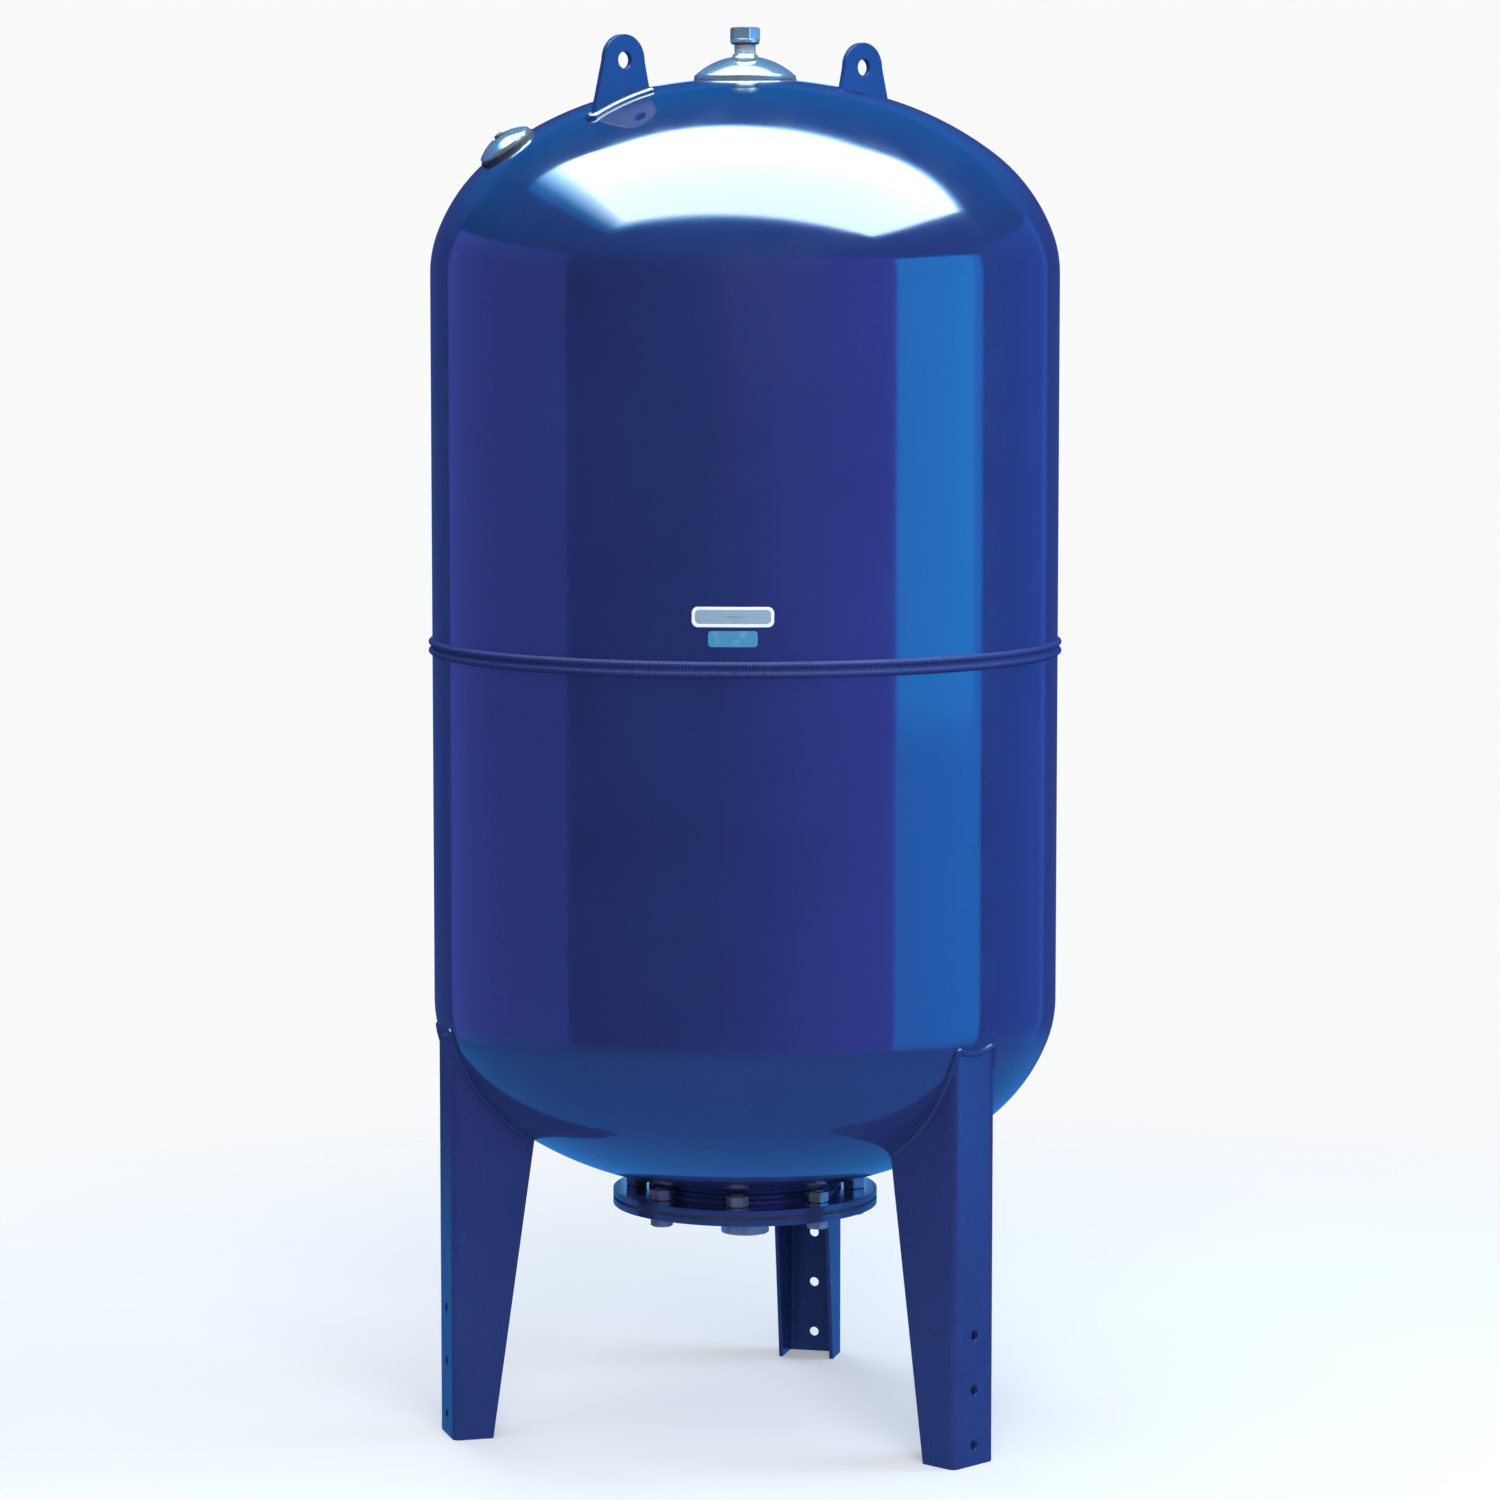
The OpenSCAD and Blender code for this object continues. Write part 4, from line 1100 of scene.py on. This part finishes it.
# soft fills
area("fill_front", polar(292, 5.0, 2.4), (0, 0, 0.8), 3.4, 2.4, 7.5, (0.95, 0.97, 1.0), glossy=False)
area("fill_right", polar(15, 4.0, 1.6), (0, 0, 0.8), 2.4, 2.4, 6.0, (0.45, 0.65, 1.0), glossy=False)
area("fill_back", polar(130, 4.6, 2.2), (0, 0, 0.8), 3.0, 2.4, 3.5, (0.9, 0.95, 1.0), glossy=False)

w = bpy.data.worlds.new("studio")
scene.world = w
w.use_nodes = True
wn = w.node_tree
wn.nodes.clear()
wo = wn.nodes.new("ShaderNodeOutputWorld")


def background(colour, strength):
    b = wn.nodes.new("ShaderNodeBackground")
    b.inputs[0].default_value = (*colour, 1)
    b.inputs[1].default_value = strength
    return b


def world_mix(fac, a, b):
    m = wn.nodes.new("ShaderNodeMixShader")
    wn.links.new(fac, m.inputs[0])
    wn.links.new(a.outputs[0], m.inputs[1])
    wn.links.new(b.outputs[0], m.inputs[2])
    return m


seen = background((0.95, 0.953, 0.957), 1.0)
ambient = background((0.85, 0.92, 1.0), 0.22)
low = background((0.15, 0.28, 1.0), 0.09)
high = background((0.0, 0.32, 1.0), 0.50)
wtc = wn.nodes.new("ShaderNodeTexCoord")
wsep = wn.nodes.new("ShaderNodeSeparateXYZ")
wn.links.new(wtc.outputs["Generated"], wsep.inputs[0])
wmr = wn.nodes.new("ShaderNodeMapRange")
wmr.interpolation_type = "SMOOTHSTEP"
wmr.inputs["From Min"].default_value = 0.1
wmr.inputs["From Max"].default_value = 0.55
wn.links.new(wsep.outputs["Z"], wmr.inputs["Value"])
lp = wn.nodes.new("ShaderNodeLightPath")
gloss = world_mix(wmr.outputs["Result"], low, high)
rest = world_mix(lp.outputs["Is Glossy Ray"], ambient, gloss)
wn.links.new(world_mix(lp.outputs["Is Camera Ray"], rest, seen).outputs[0], wo.inputs[0])
scene.view_settings.view_transform = "Standard"
scene.view_settings.look = "None"

cd = bpy.data.cameras.new("camera")
cd.lens = 120.2
cd.sensor_width = 36
cd.shift_x = 0.0033
cd.dof.use_dof = False
cd.clip_end = 60
cam = bpy.data.objects.new("camera", cd)
scene.collection.objects.link(cam)
cam.location = (1.4515, -5.8218, 1.418)
cam.rotation_mode = "QUATERNION"
cam.rotation_quaternion = (Vector((0, 0, 0.815)) - cam.location).to_track_quat("-Z", "Y")
scene.camera = cam
